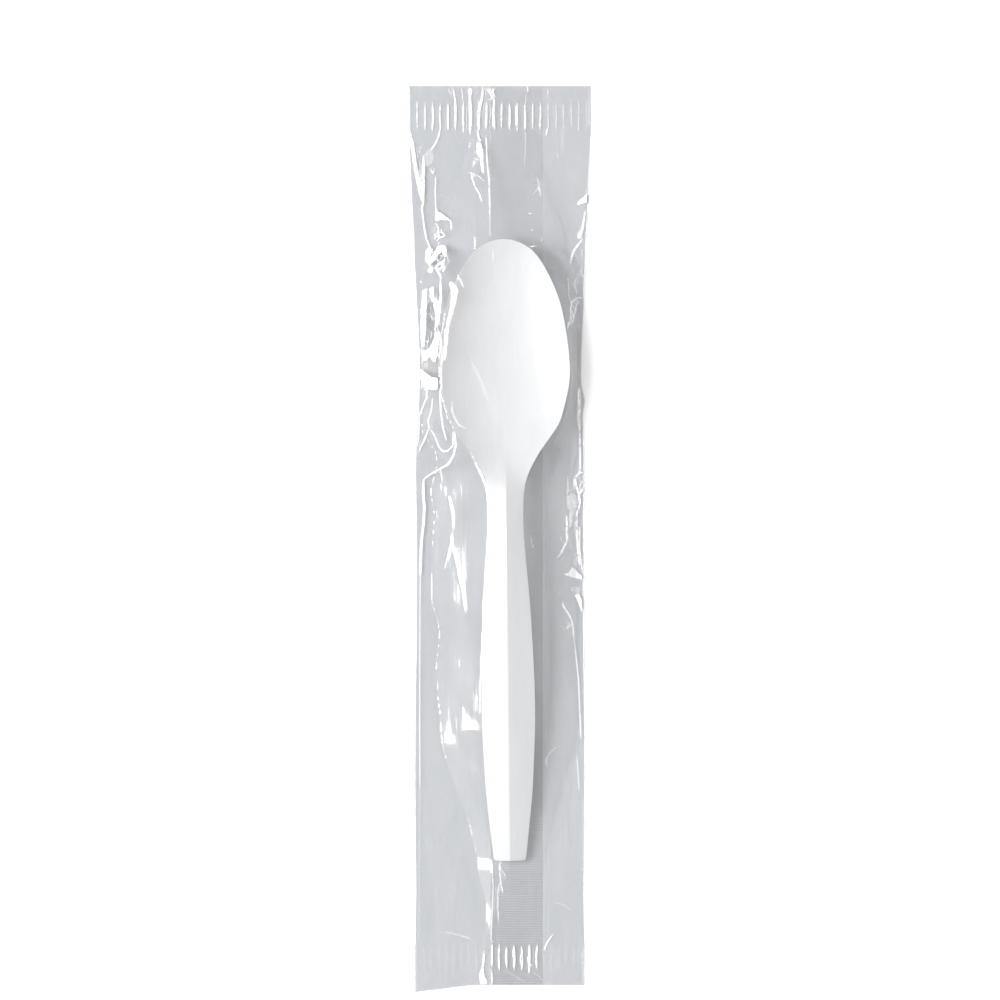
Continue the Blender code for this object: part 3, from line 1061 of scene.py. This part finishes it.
def off_outline(corners: Path2, x: np.ndarray, y: np.ndarray) -> np.ndarray:
    """How far places are outside a closed outline, below 0 inside it."""
    away = off_path(corners + corners[:1], x, y)[0]
    inside = np.zeros(x.shape, bool)
    for (ax, ay), (bx, by) in zip(corners, corners[1:] + corners[:1]):
        if ay != by:
            crossing = ax + (y - ay) * (bx - ax) / (by - ay)
            inside ^= ((ay > y) != (by > y)) & (x < crossing)
    return np.where(inside, -away, away)


@dataclass
class Marks:
    """Where the creases and gleams fall on the front ply, place by place: the creases' slight lift, and the
    painted highlights of both.

    Args:
        offset: how far it is to the nearest crease, with a sign for the side.
        reach: half of that crease's width, falling below 0 away from it.
        bright: how bright that crease's painted highlight is.
        outline: how far it is to the nearest gleam's outline, below 0 inside.
        painted_shine: how bright that gleam's painted highlight is.
    """

    offset: np.ndarray
    reach: np.ndarray
    bright: np.ndarray
    outline: np.ndarray
    painted_shine: np.ndarray

    @classmethod
    def over(cls, x: np.ndarray, y: np.ndarray, creases: tuple[HighlitCrease, ...]) -> "Marks":
        """Measure every place against the creases and the gleams.

        Args:
            x: places across, one row for each station.
            y: places along, of the same shape.
            creases: all of the creases.

        Returns:
            The marks.
        """
        marks = cls(*(np.full(x.shape, value) for value in (9.0, 0.0, 0.0, 9.0, 0.0)))
        beyond = np.full(x.shape, 9.0)
        for crease in creases:
            part = rows_near(crease.path, y)
            away, signed, run = off_path(crease.path, x[part], y[part])
            ends = np.minimum(run, run.max() - run)
            half = crease.width / 2 * (0.35 + 0.65 * np.clip(ends / (2.5 * crease.width), 0, 1))
            nearer = away - half < beyond[part]
            beyond[part] = np.where(nearer, away - half, beyond[part])
            marks.offset[part] = np.where(nearer, signed, marks.offset[part])
            marks.reach[part] = np.where(nearer, half, marks.reach[part])
            marks.bright[part] = np.where(nearer, crease.bright, marks.bright[part])
        marks.reach -= np.clip(beyond - 0.35, 0, 0.7)
        for gleam in GLEAMS:
            part = rows_near(gleam.corners, y)
            outline = off_outline(gleam.corners, x[part], y[part])
            nearer = outline < marks.outline[part]
            marks.outline[part] = np.where(nearer, outline, marks.outline[part])
            marks.painted_shine[part] = np.where(nearer, gleam.bright, marks.painted_shine[part])
        return marks


def rows_near(path: Path2, y: np.ndarray) -> slice:
    """The rows of a sheet that come near a path."""
    along = [point[1] for point in path]
    rows = np.flatnonzero((y[:, 0] > min(along) - 1.5) & (y[:, 0] < max(along) + 1.5))
    return slice(rows[0], rows[-1] + 1)


# The last number of each crumple is how strongly the painted glints on its small creases show.
CRUMPLES = (
    Crumple((-15.2, 67.6), (3.0, 3.8), 0.0, (0.9, 1.4), 0.5, 31, 0.8),
    Crumple((-16.9, 46.5), (2.6, 5.6), 0.0, (0.8, 1.2), 0.5, 32, 0.9),
    Crumple((-16.6, 55.0), (3.0, 6.5), 0.0, (1.4, 6.0), 0.4, 33, 0.45),
    Crumple((-14.6, 74.4), (1.6, 2.6), 0.0, (0.8, 1.2), 0.5, 34, 0.8),
    Crumple((-5.0, 93.0), (1.4, 4.8), -8.0, (0.8, 1.6), 0.4, 35, 0.7),
    Crumple((-2.1, 107.4), (1.5, 1.8), 0.0, (0.8, 1.2), 0.3, 40, 0.9),
    Crumple((9.3, 84.4), (1.2, 2.8), 0.0, (0.8, 1.4), 0.3, 41, 0.8),
    Crumple((19.4, 13.8), (1.3, 2.6), 0.0, (0.7, 1.0), 0.5, 36, 0.9),
    Crumple((18.9, 66.0), (2.2, 5.0), 0.0, (1.2, 2.0), 0.35, 37, 0.45),
    Crumple((17.9, 6.0), (2.2, 9.5), 0.0, (1.3, 5.0), 0.3, 38, 0.35),
    Crumple((17.9, 54.5), (1.8, 4.5), 0.0, (1.2, 3.0), 0.3, 39, 0.35),
    Crumple((20.0, 33.0), (1.2, 2.6), 0.0, (0.8, 1.2), 0.3, 42, 0.5),
    Crumple((16.2, -22.0), (1.6, 2.4), 0.0, (0.8, 1.2), 0.3, 43, 0.5),
    Crumple((7.4, -1.8), (0.7, 2.8), 0.0, (0.7, 1.0), 0.2, 44, 0.5),
    Crumple((7.6, -75.4), (0.7, 2.6), 0.0, (0.7, 1.0), 0.2, 45, 0.9),
    Crumple((19.9, -78.0), (0.6, 5.0), 0.0, (0.7, 1.0), 0.2, 46, 0.4),
)

# Painted highlights: each gleam is painted white where a flat facet would mirror the key light.
GLEAMS = (
    # Left side, from the bowl's end down.
    Gleam(((-16.2, 94.3), (-17.6, 93.9), (-18.4, 92.4), (-18.4, 90.4), (-17.2, 90.2), (-16.4, 90.8), (-15.9, 92.5)), 0.2),
    Gleam((
        (-15.5, 80.2), (-15.1, 79.3), (-14.2, 78.8), (-13.3, 78.2), (-12.4, 77.6), (-11.8, 77.0), (-13.8, 77.2),
        (-15.3, 76.9), (-15.7, 77.3),
    )),
    Gleam((
        (-16.6, 68.2), (-14.8, 70.9), (-13.3, 70.9), (-12.8, 70.0), (-12.9, 68.2), (-13.5, 68.3), (-13.9, 69.6),
        (-14.8, 68.8), (-16.0, 67.4), (-17.0, 66.0), (-17.5, 66.3),
    )),
    Gleam(((-17.9, 70.0), (-17.0, 70.6), (-16.2, 69.6), (-16.8, 68.4), (-17.6, 67.0), (-18.0, 67.5)), 0.8),
    Gleam(((-17.4, 65.2), (-16.3, 65.9), (-16.2, 64.4), (-17.2, 64.4)), 0.8),
    Gleam((
        (-18.6, 60.3), (-17.5, 60.5), (-17.8, 56.0), (-17.8, 52.0), (-18.2, 46.5), (-18.9, 46.5), (-19.1, 52.0),
        (-18.9, 57.0),
    ), 0.75),
    Gleam((
        (-16.9, 60.4), (-16.0, 61.0), (-15.9, 58.2), (-15.4, 57.0), (-14.7, 57.5), (-14.5, 55.0), (-14.5, 52.5),
        (-15.1, 51.2), (-15.7, 50.3), (-15.4, 52.5), (-15.6, 54.8), (-16.1, 57.0), (-16.8, 58.2),
    ), 0.8),
    Gleam((
        (-16.0, 48.0), (-15.4, 50.0), (-14.9, 50.0), (-14.8, 47.5), (-14.9, 45.0), (-15.5, 42.6), (-16.2, 43.0),
        (-16.9, 44.4), (-17.9, 43.0), (-18.7, 43.5), (-18.9, 46.0), (-17.8, 45.4), (-16.7, 46.3),
    ), 0.8),
    Gleam((
        (-19.5, 41.4), (-18.8, 41.0), (-17.5, 39.8), (-16.4, 39.0), (-15.0, 38.9), (-14.9, 36.1), (-16.4, 36.1),
        (-17.2, 36.5), (-17.9, 36.0), (-18.5, 37.3), (-19.1, 38.7), (-19.3, 40.0),
    )),
    # The bowl's left rim.
    Gleam((
        (-12.5, 61.9), (-11.8, 62.1), (-10.5, 61.2), (-10.0, 60.0), (-10.4, 57.5), (-11.1, 55.0), (-11.9, 52.5),
        (-12.4, 49.5), (-12.6, 46.0), (-13.1, 43.0), (-13.7, 43.0), (-13.5, 47.0), (-13.3, 50.0), (-12.7, 52.5),
        (-12.0, 56.0), (-11.5, 59.0), (-11.7, 60.3),
    ), 0.7),
    # The middle, beyond the bowl.
    Gleam(((-7.9, 108.4), (-7.2, 109.0), (-6.6, 108.4), (-6.8, 107.2), (-7.5, 107.2)), 0.9),
    Gleam((
        (-5.6, 96.0), (-4.6, 96.0), (-4.1, 94.2), (-4.0, 92.0), (-3.9, 89.5), (-3.8, 88.3), (-4.3, 88.6),
        (-4.6, 90.3), (-4.8, 92.0), (-5.6, 93.5), (-5.6, 94.8),
    ), 0.85),
    # Right side.
    Gleam(((21.3, 85.2), (21.6, 82.4), (21.4, 81.4), (20.0, 81.1), (18.8, 80.7), (18.7, 81.3), (19.8, 82.3), (20.9, 83.4)), 0.95),
    Gleam(((20.0, 77.0), (20.6, 79.5), (20.8, 79.5), (20.3, 75.0), (19.6, 72.4), (18.7, 72.8), (18.8, 74.0), (19.6, 75.0)), 0.5),
    Gleam(((16.2, 10.5), (17.5, 11.2), (18.6, 10.5), (18.5, 8.0), (17.6, 5.0), (17.3, 3.0), (16.7, 3.0), (16.6, 5.0), (17.0, 6.5), (16.2, 8.0)), 0.35),
    Gleam(((15.3, -8.3), (16.5, -8.1), (17.5, -6.5), (18.2, -7.3), (19.3, -8.3), (20.4, -9.7), (19.4, -9.6), (17.3, -9.0), (15.8, -8.6)), 0.7),
    Gleam(((18.0, -13.2), (19.2, -13.2), (20.0, -15.0), (20.3, -18.2), (19.6, -17.0), (18.9, -15.0), (18.3, -13.9)), 0.9),
    Gleam(((16.5, -11.5), (19.5, -11.5), (19.2, -13.2), (17.5, -12.7)), 0.2),
    # The tuck at the handle's end.
    Gleam(((-4.6, -103.5), (-3.9, -103.5), (-3.6, -105.5), (-2.9, -107.0), (-3.5, -107.4), (-4.6, -107.4), (-5.0, -105.5)), 0.95),
)

# Each crease lifts the front ply a little; its bright line is a painted highlight.
HIGHLIT_CREASES = (
    # Left side, from the bowl's end down.
    HighlitCrease(((-21.8, 109.2), (-21.7, 98.5)), 0.25, 0.5),
    HighlitCrease(((-21.7, 98.4), (-21.1, 95.0), (-20.6, 91.5), (-20.0, 88.0), (-19.3, 84.5), (-18.9, 82.0)), 0.9, 0.95),
    HighlitCrease(((-14.4, 99.0), (-14.9, 97.0), (-15.6, 95.5), (-16.8, 93.8)), 0.45, 0.8),
    HighlitCrease(((-19.0, 95.4), (-19.5, 92.8)), 0.3, 0.4),
    HighlitCrease(((-18.4, 92.5), (-18.5, 88.0), (-18.5, 85.5), (-18.6, 83.0), (-18.5, 80.8)), 0.75, 0.95),
    HighlitCrease(((-16.8, 89.7), (-16.2, 88.3), (-15.7, 89.6)), 0.3, 0.5),
    HighlitCrease(((-18.9, 80.5), (-18.6, 78.0), (-18.2, 75.0), (-17.7, 72.5), (-17.0, 70.8), (-16.2, 69.3)), 0.35, 0.95),
    HighlitCrease(((-15.5, 87.5), (-15.6, 84.4), (-15.5, 81.0), (-15.4, 79.0)), 0.25, 0.8),
    HighlitCrease(((-12.0, 77.3), (-11.7, 76.0), (-11.7, 74.6)), 0.28, 0.7),
    HighlitCrease(((-15.0, 83.4), (-11.2, 82.0)), 0.6, 0.08),
    HighlitCrease(((-15.4, 76.3), (-14.7, 75.0), (-15.2, 74.0), (-13.9, 74.3), (-13.3, 73.2), (-14.4, 72.9), (-15.3, 72.0)), 0.3, 0.8),
    HighlitCrease(((-15.5, 65.6), (-13.2, 67.6)), 0.3, 0.9),
    HighlitCrease(((-13.5, 67.2), (-13.9, 65.5)), 0.4, 0.7),
    HighlitCrease(((-15.3, 65.0), (-14.3, 63.6), (-14.1, 62.8)), 0.7, 0.8),
    HighlitCrease(((-14.3, 62.4), (-14.2, 59.0), (-14.4, 55.5)), 0.45, 0.95),
    HighlitCrease(((-15.0, 51.0), (-14.1, 47.5), (-13.9, 44.0), (-14.2, 40.0), (-13.9, 36.0)), 0.6, 0.4),
    HighlitCrease(((-10.0, 63.4), (-9.3, 62.0), (-8.8, 60.8)), 0.6, 0.5),
    HighlitCrease(((-17.4, 36.0), (-17.7, 35.0), (-17.5, 34.2)), 0.5, 0.7),
    HighlitCrease(((-17.7, 34.2), (-18.4, 32.5), (-19.4, 30.0), (-19.5, 27.0), (-19.8, 22.6)), 0.32, 0.55),
    HighlitCrease(((-14.4, 36.0), (-14.2, 31.0), (-13.7, 27.0), (-12.8, 23.7)), 0.35, 0.6),
    HighlitCrease(((-16.2, 34.0), (-16.5, 31.0), (-17.3, 28.8), (-17.0, 26.6)), 0.35, 0.4),
    HighlitCrease(((-17.2, 26.6), (-18.4, 23.8), (-19.7, 21.0)), 0.3, 0.75),
    HighlitCrease(((-17.6, 25.0), (-18.8, 22.6)), 0.22, 0.5),
    HighlitCrease(((-16.4, 26.2), (-15.4, 24.3), (-14.6, 22.2), (-13.6, 21.2), (-12.5, 21.4), (-11.3, 22.6), (-11.2, 25.7)), 0.32, 0.75),
    HighlitCrease(((-10.9, 26.0), (-10.6, 22.5), (-11.2, 20.2), (-12.4, 18.2), (-14.9, 16.8), (-17.0, 15.6), (-18.3, 14.6)), 0.45, 0.85),
    HighlitCrease(((-18.4, 14.4), (-18.5, 11.0), (-18.2, 8.0), (-18.4, 4.0), (-18.9, 0.0), (-19.1, -5.0), (-19.2, -9.0)), 0.6, 0.95),
    HighlitCrease(((-19.2, -7.2), (-19.3, -25.7), (-19.35, -45.0), (-19.3, -60.0)), 0.3, 0.45),
    HighlitCrease(((-19.35, -58.0), (-19.4, -75.0), (-19.5, -97.0)), 0.25, 0.14),
    HighlitCrease(((-14.2, 16.5), (-13.9, 14.0)), 0.3, 0.5),
    HighlitCrease(((-14.3, 13.4), (-14.2, 12.0)), 0.35, 0.5),
    HighlitCrease(((-13.5, 12.6), (-13.3, 11.0)), 0.25, 0.35),
    HighlitCrease(((-15.3, 7.0), (-15.1, 5.0)), 0.3, 0.3),
    HighlitCrease(((-12.3, 10.5), (-11.8, 8.0), (-11.3, 5.5), (-11.4, 2.8)), 0.4, 0.6),
    HighlitCrease(((-11.7, 1.5), (-11.8, -1.0), (-12.4, -3.5), (-13.3, -7.0)), 0.35, 0.5),
    HighlitCrease(((-11.7, -1.0), (-10.9, -4.0), (-10.2, -6.6)), 0.35, 0.4),
    HighlitCrease(((-10.2, -6.6), (-9.6, -9.5), (-9.0, -11.8), (-8.2, -17.4)), 0.55, 0.7),
    # The bowl.
    HighlitCrease(((-11.5, 33.3), (-11.4, 30.5), (-10.6, 28.8), (-9.6, 27.4), (-8.4, 26.9)), 0.6, 0.3),
    HighlitCrease(((-6.8, 43.0), (-4.4, 38.0), (-2.8, 33.4)), 0.8, 0.12),
    HighlitCrease(((-1.6, 69.9), (-1.6, 67.0)), 0.25, 0.3),
    # The middle, beyond the bowl.
    HighlitCrease(((-12.4, 109.0), (-11.9, 107.6)), 0.25, 0.6),
    HighlitCrease(((-11.2, 108.7), (-10.8, 106.0), (-10.7, 100.0)), 0.45, 0.8),
    HighlitCrease(((-9.2, 109.0), (-8.9, 106.0)), 0.25, 0.6),
    HighlitCrease(((-7.2, 108.9), (-7.2, 104.0), (-7.1, 101.0), (-7.2, 97.8)), 0.6, 0.9),
    HighlitCrease(((-4.1, 109.1), (-4.3, 106.5), (-4.9, 104.0), (-5.1, 101.0), (-4.9, 99.2)), 0.55, 0.95),
    HighlitCrease(((-3.0, 105.2), (-3.3, 103.0), (-3.4, 99.3)), 0.35, 0.8),
    HighlitCrease(((-1.3, 106.2), (-1.5, 103.0), (-1.6, 99.5)), 0.55, 0.95),
    HighlitCrease(((-3.2, 108.9), (-1.2, 106.0)), 0.28, 0.8),
    HighlitCrease(((-2.4, 109.0), (-1.4, 107.2)), 0.28, 0.8),
    HighlitCrease(((-1.2, 108.9), (-1.9, 108.0)), 0.28, 0.8),
    HighlitCrease(((-1.6, 106.5), (-2.9, 106.2)), 0.28, 0.6),
    HighlitCrease(((-5.4, 98.9), (-5.2, 97.5), (-4.8, 96.3)), 0.5, 0.9),
    HighlitCrease(((-6.1, 93.3), (-4.8, 92.9)), 0.25, 0.6),
    HighlitCrease(((-6.1, 91.9), (-4.8, 91.4)), 0.25, 0.6),
    HighlitCrease(((-3.3, 97.2), (-3.1, 92.0), (-2.9, 89.5), (-2.6, 87.0), (-2.5, 83.0), (-2.4, 78.0)), 0.3, 0.8),
    HighlitCrease(((-2.4, 79.0), (-2.3, 72.8)), 0.25, 0.35),
    HighlitCrease(((-6.9, 88.1), (-6.3, 86.0), (-5.7, 84.5), (-4.9, 83.3), (-4.4, 81.4)), 0.32, 0.85),
    HighlitCrease(((-7.4, 88.6), (-5.6, 87.9), (-4.8, 87.4), (-3.9, 86.4)), 0.3, 0.5),
    HighlitCrease(((6.3, 107.0), (6.2, 98.0), (6.2, 94.0), (5.8, 90.0)), 0.25, 0.22),
    HighlitCrease(((6.6, 109.3), (6.9, 108.6), (6.6, 108.0)), 0.4, 0.9),
    HighlitCrease(((11.6, 99.6), (11.3, 98.4), (11.2, 97.6)), 0.4, 0.9),
    HighlitCrease(((11.6, 109.0), (11.6, 106.5)), 0.3, 0.3),
    HighlitCrease(((15.2, 98.5), (15.2, 95.0)), 0.6, 0.12),
    HighlitCrease(((13.8, 93.8), (14.2, 92.0)), 0.3, 0.25),
    HighlitCrease(((9.0, 87.5), (9.6, 85.0), (9.8, 82.8)), 0.3, 0.6),
    HighlitCrease(((8.0, 83.2), (9.2, 84.6), (9.6, 86.2)), 0.3, 0.6),
    HighlitCrease(((7.0, 78.5), (7.5, 78.4)), 0.4, 0.7),
    HighlitCrease(((7.6, 74.4), (8.0, 74.5)), 0.4, 0.7),
    HighlitCrease(((7.4, 70.4), (8.5, 70.6)), 0.4, 0.9),
    HighlitCrease(((10.1, 72.4), (10.1, 71.6)), 0.35, 0.6),
    # Right side.
    HighlitCrease(((21.8, 109.0), (21.7, 100.0)), 0.3, 0.3),
    HighlitCrease(((21.9, 88.2), (21.2, 86.8), (21.4, 85.0), (21.5, 82.0)), 0.35, 0.9),
    HighlitCrease(((21.3, 80.5), (21.2, 76.0), (20.8, 73.0)), 0.4, 0.35),
    HighlitCrease(((20.0, 72.6), (19.0, 71.2), (17.9, 69.8), (17.4, 68.4), (17.0, 66.6)), 0.55, 0.6),
    HighlitCrease(((20.6, 72.0), (20.7, 66.0), (20.4, 61.0)), 0.3, 0.45),
    HighlitCrease(((16.4, 63.0), (16.6, 60.0), (16.8, 57.5)), 0.28, 0.3),
    HighlitCrease(((19.9, 58.6), (18.6, 58.2), (17.4, 57.3), (17.0, 55.5), (17.3, 54.0), (16.6, 52.0), (16.3, 50.5)), 0.45, 0.45),
    HighlitCrease(((19.9, 57.6), (18.7, 57.0), (18.2, 55.5), (17.7, 53.0), (17.2, 51.5)), 0.35, 0.4),
    HighlitCrease(((18.7, 59.4), (18.0, 61.5), (18.4, 63.0)), 0.45, 0.3),
    HighlitCrease(((19.1, 43.0), (19.0, 38.5)), 0.3, 0.2),
    HighlitCrease(((19.6, 37.4), (19.2, 36.0), (19.2, 33.0), (19.1, 30.0), (19.3, 26.0)), 0.8, 0.6),
    HighlitCrease(((19.3, 26.0), (19.4, 20.0), (19.4, 16.5)), 0.5, 0.65),
    HighlitCrease(((18.2, 15.2), (19.2, 16.0), (20.4, 16.2), (20.6, 14.0), (20.0, 12.0), (19.4, 11.0)), 0.35, 0.8),
    HighlitCrease(((18.1, 15.0), (18.4, 13.0), (19.0, 11.4), (19.4, 9.0), (19.2, 8.0)), 0.5, 0.75),
    HighlitCrease(((16.4, 15.0), (16.5, 12.5), (16.2, 10.5)), 0.4, 0.4),
    HighlitCrease(((17.7, 14.5), (17.8, 12.0)), 0.3, 0.4),
    HighlitCrease(((16.1, 6.0), (16.2, 3.0), (16.0, 2.0), (16.3, 0.0), (15.9, -1.0), (15.3, -2.0), (14.9, -3.0), (14.0, -4.2)), 0.5, 0.75),
    HighlitCrease(((19.2, 8.0), (18.5, 6.0), (18.6, 1.0), (18.9, -3.0), (19.2, -6.0)), 0.45, 0.8),
    HighlitCrease(((19.3, 3.0), (19.3, -2.0), (19.8, -7.0), (20.3, -9.4)), 0.3, 0.6),
    HighlitCrease(((18.2, 5.0), (17.8, 1.0)), 0.3, 0.35),
    HighlitCrease(((18.0, -4.0), (18.2, -6.6)), 0.3, 0.4),
    HighlitCrease(((14.6, 0.8), (14.8, -0.4)), 0.3, 0.3),
    HighlitCrease(((14.7, -4.8), (15.3, -4.7)), 0.35, 0.3),
    HighlitCrease(((14.0, -12.9), (14.8, -12.7)), 0.35, 0.25),
    HighlitCrease(((15.1, -14.8), (15.3, -16.0), (16.3, -17.5), (17.2, -19.0), (17.7, -21.0), (17.9, -24.0)), 0.38, 0.8),
    HighlitCrease(((17.9, -24.0), (18.4, -28.0), (19.0, -34.0), (19.6, -48.0)), 0.35, 0.5),
    HighlitCrease(((17.4, -20.4), (15.9, -21.3)), 0.28, 0.4),
    HighlitCrease(((18.6, -52.0), (19.2, -60.5)), 0.35, 0.3),
    HighlitCrease(((20.1, -62.0), (20.3, -98.0)), 0.25, 0.2),
    HighlitCrease(((20.2, -98.0), (20.2, -107.3)), 0.3, 0.45),
    HighlitCrease(((13.8, -50.0), (12.1, -51.2), (11.2, -53.0), (11.4, -54.5)), 0.3, 0.3),
    # The fin's edges, seen through the front, as faint painted light lines.
    HighlitCrease(((10.7, 24.0), (10.7, -97.0)), 0.35, 0.07),
    HighlitCrease(((11.8, 20.0), (11.8, -97.0)), 0.3, 0.06),
    # Beyond the handle's end.
    HighlitCrease(((-1.8, -80.2), (-1.6, -84.0), (-1.7, -88.0), (-2.0, -93.0), (-2.1, -97.5)), 0.3, 0.4),
    HighlitCrease(((0.0, -80.0), (0.2, -82.5), (0.8, -85.2)), 0.35, 0.4),
    HighlitCrease(((-0.2, -83.0), (-0.5, -86.0), (-0.5, -89.0), (-0.3, -92.0)), 0.5, 0.3),
    HighlitCrease(((0.3, -79.5), (1.2, -80.6), (1.4, -82.0)), 0.3, 0.25),
    HighlitCrease(((12.8, -95.5), (11.6, -97.0), (11.0, -98.4), (10.5, -99.6)), 0.35, 0.8),
    HighlitCrease(((-13.3, -94.7), (-9.5, -95.6), (-6.8, -96.5)), 0.5, 0.2),
    HighlitCrease(((13.2, -87.6), (15.4, -88.2), (16.9, -89.2)), 0.5, 0.15),
    HighlitCrease(((-3.8, -99.8), (-3.9, -102.0), (-4.3, -104.0)), 0.5, 0.85),
    HighlitCrease(((-2.2, -103.8), (-1.9, -105.0), (-1.9, -107.4)), 0.4, 0.9),
    HighlitCrease(((7.1, -98.2), (7.2, -101.0), (7.1, -104.8)), 0.45, 0.9),
    HighlitCrease(((1.0, -104.0), (4.0, -105.5), (6.0, -107.0)), 0.4, 0.12),
    HighlitCrease(((8.0, -104.5), (9.6, -105.5), (10.6, -107.0)), 0.4, 0.15),
)


# --- Studio ------------------------------------------------------------------------------------------


@dataclass(frozen=True)
class Softbox:
    """A square softbox that faces the pack.

    Args:
        name: of the lamp.
        side: the square's side, in metres.
        reach: from the pack's middle, in metres.
        from_zenith: its angle down from straight above, in degrees.
        bearing: where it stands round the pack, in degrees from +X towards +Y.
        radiance: how bright its face is.
        colour: of its light.
    """

    name: str
    side: float
    reach: float
    from_zenith: float
    bearing: float
    radiance: float
    colour: tuple[float, float, float]

    def build(self) -> None:
        """Add the lamp."""
        lamp = bpy.data.lights.new(self.name, "AREA")
        lamp.shape = "SQUARE"
        lamp.size = self.side
        lamp.energy = self.radiance * math.pi * self.side**2
        lamp.color = self.colour
        down, round_ = math.radians(self.from_zenith), math.radians(self.bearing)
        box = bpy.data.objects.new(self.name, lamp)
        box.location = (
            self.reach * math.sin(down) * math.cos(round_),
            self.reach * math.sin(down) * math.sin(round_),
            self.reach * math.cos(down),
        )
        box.rotation_euler = (0, down, round_)
        box.visible_camera = False
        bpy.context.scene.collection.objects.link(box)


@dataclass(frozen=True)
class Glow:
    """A soft bright patch of the white room.

    Args:
        from_zenith: its angle down from straight above, in degrees.
        bearing: where it is round the pack, in degrees from +X towards +Y.
        radiance: how bright its middle is.
        tightness: the power of the cosine that it fades with.
    """

    from_zenith: float
    bearing: float
    radiance: float
    tightness: float

    def towards(self) -> tuple[float, float, float]:
        """The direction of its middle."""
        down, round_ = math.radians(self.from_zenith), math.radians(self.bearing)
        return math.sin(down) * math.cos(round_), math.sin(down) * math.sin(round_), math.cos(down)


@dataclass(frozen=True)
class Studio:
    """The white table, the soft light and the camera straight above.

    Args:
        table_side: the table's side, in metres.
        table_white: its colour.
        sky: radiance of the white room.
        key: the softbox on the left.
        lens: the camera's focal length, in millimetres.
        field: the width that the camera sees at the table, in metres.
        aim: what the camera looks down on, in metres.
        most_plies: how many film plies a ray of light may pass.
    """

    table_side: float = 8.0
    table_white: tuple[float, float, float] = (0.95, 0.95, 0.95)
    sky: float = 0.95
    glows: tuple[Glow, ...] = (Glow(KEY_FROM_ZENITH, 180.0, 1.2, 6.0), Glow(62.0, 0.0, 0.6, 8.0))
    key: Softbox = Softbox("key", 1.0, 2.0, KEY_FROM_ZENITH, 180.0, 11.5, (0.985, 0.995, 1.0))
    lens: float = 200.0
    field: float = 0.24155
    aim: tuple[float, float] = (0.00006, 0.00954)
    most_plies: int = 32

    def build(self) -> None:
        """Make the table, the lights and the camera."""
        self.add_table()
        self.add_sky()
        self.key.build()
        self.add_camera()
        scene = bpy.context.scene
        scene.view_settings.view_transform = "Standard"
        scene.cycles.transparent_max_bounces = self.most_plies

    def add_table(self) -> None:
        """Lay the white table under the pack."""
        shader = Shader.of_material("table_white")
        inputs = {"Base Color": (*self.table_white, 1), "Roughness": 1.0, "Specular IOR Level": 0.0}
        finish = shader.finish(shader.signal("ShaderNodeBsdfPrincipled", inputs=inputs))
        bm = bmesh.new()
        bmesh.ops.create_grid(bm, x_segments=1, y_segments=1, size=self.table_side / 2)
        add_piece("table", bm, finish)

    def add_sky(self) -> None:
        """Light the pack evenly from all round."""
        world = bpy.data.worlds.new("white_room")
        room = Shader(world)
        towards = room.signal("ShaderNodeTexCoord", output="Generated")
        light = Signal(room, room.node("ShaderNodeValue").outputs[0])
        light.socket.default_value = self.sky
        for glow in self.glows:
            facing = room.signal(
                "ShaderNodeVectorMath",
                {"operation": "DOT_PRODUCT"},
                {0: towards, 1: glow.towards()},
                output="Value",
            )
            light = light + glow.radiance * facing.held() ** glow.tightness
        background = room.signal("ShaderNodeBackground", inputs={"Strength": light})
        room.node("ShaderNodeOutputWorld", inputs={"Surface": background})
        bpy.context.scene.world = world

    def add_camera(self) -> None:
        """Hang the camera straight above the pack."""
        lens = bpy.data.cameras.new("camera")
        lens.lens = self.lens
        height = self.field * self.lens / lens.sensor_width
        camera = bpy.data.objects.new("camera", lens)
        camera.location = (*self.aim, height)
        bpy.context.scene.collection.objects.link(camera)
        bpy.context.scene.camera = camera


def report(piece: bpy.types.Object) -> None:
    """Log a piece's size and its count of faces."""
    mesh = piece.data
    log.info("%s: %d faces, %s mm", piece.name, len(mesh.polygons), [round(s / MM, 1) for s in piece.dimensions])


def main() -> None:
    """Build the wrapped spoon and its studio."""
    logging.basicConfig(level=logging.INFO, format="%(name)s: %(message)s")
    Studio().build()
    spoon = Teaspoon().build(MouldedPlastic().build())
    film = FilmSleeve().build(ClearFilm().build())
    for piece, node, slot in ((spoon, "spoon", "white_plastic"), (film, "film_sleeve", "clear_film")):
        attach(piece, "root")
        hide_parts(node)
        report(piece)


if __name__ == "__main__":
    main()
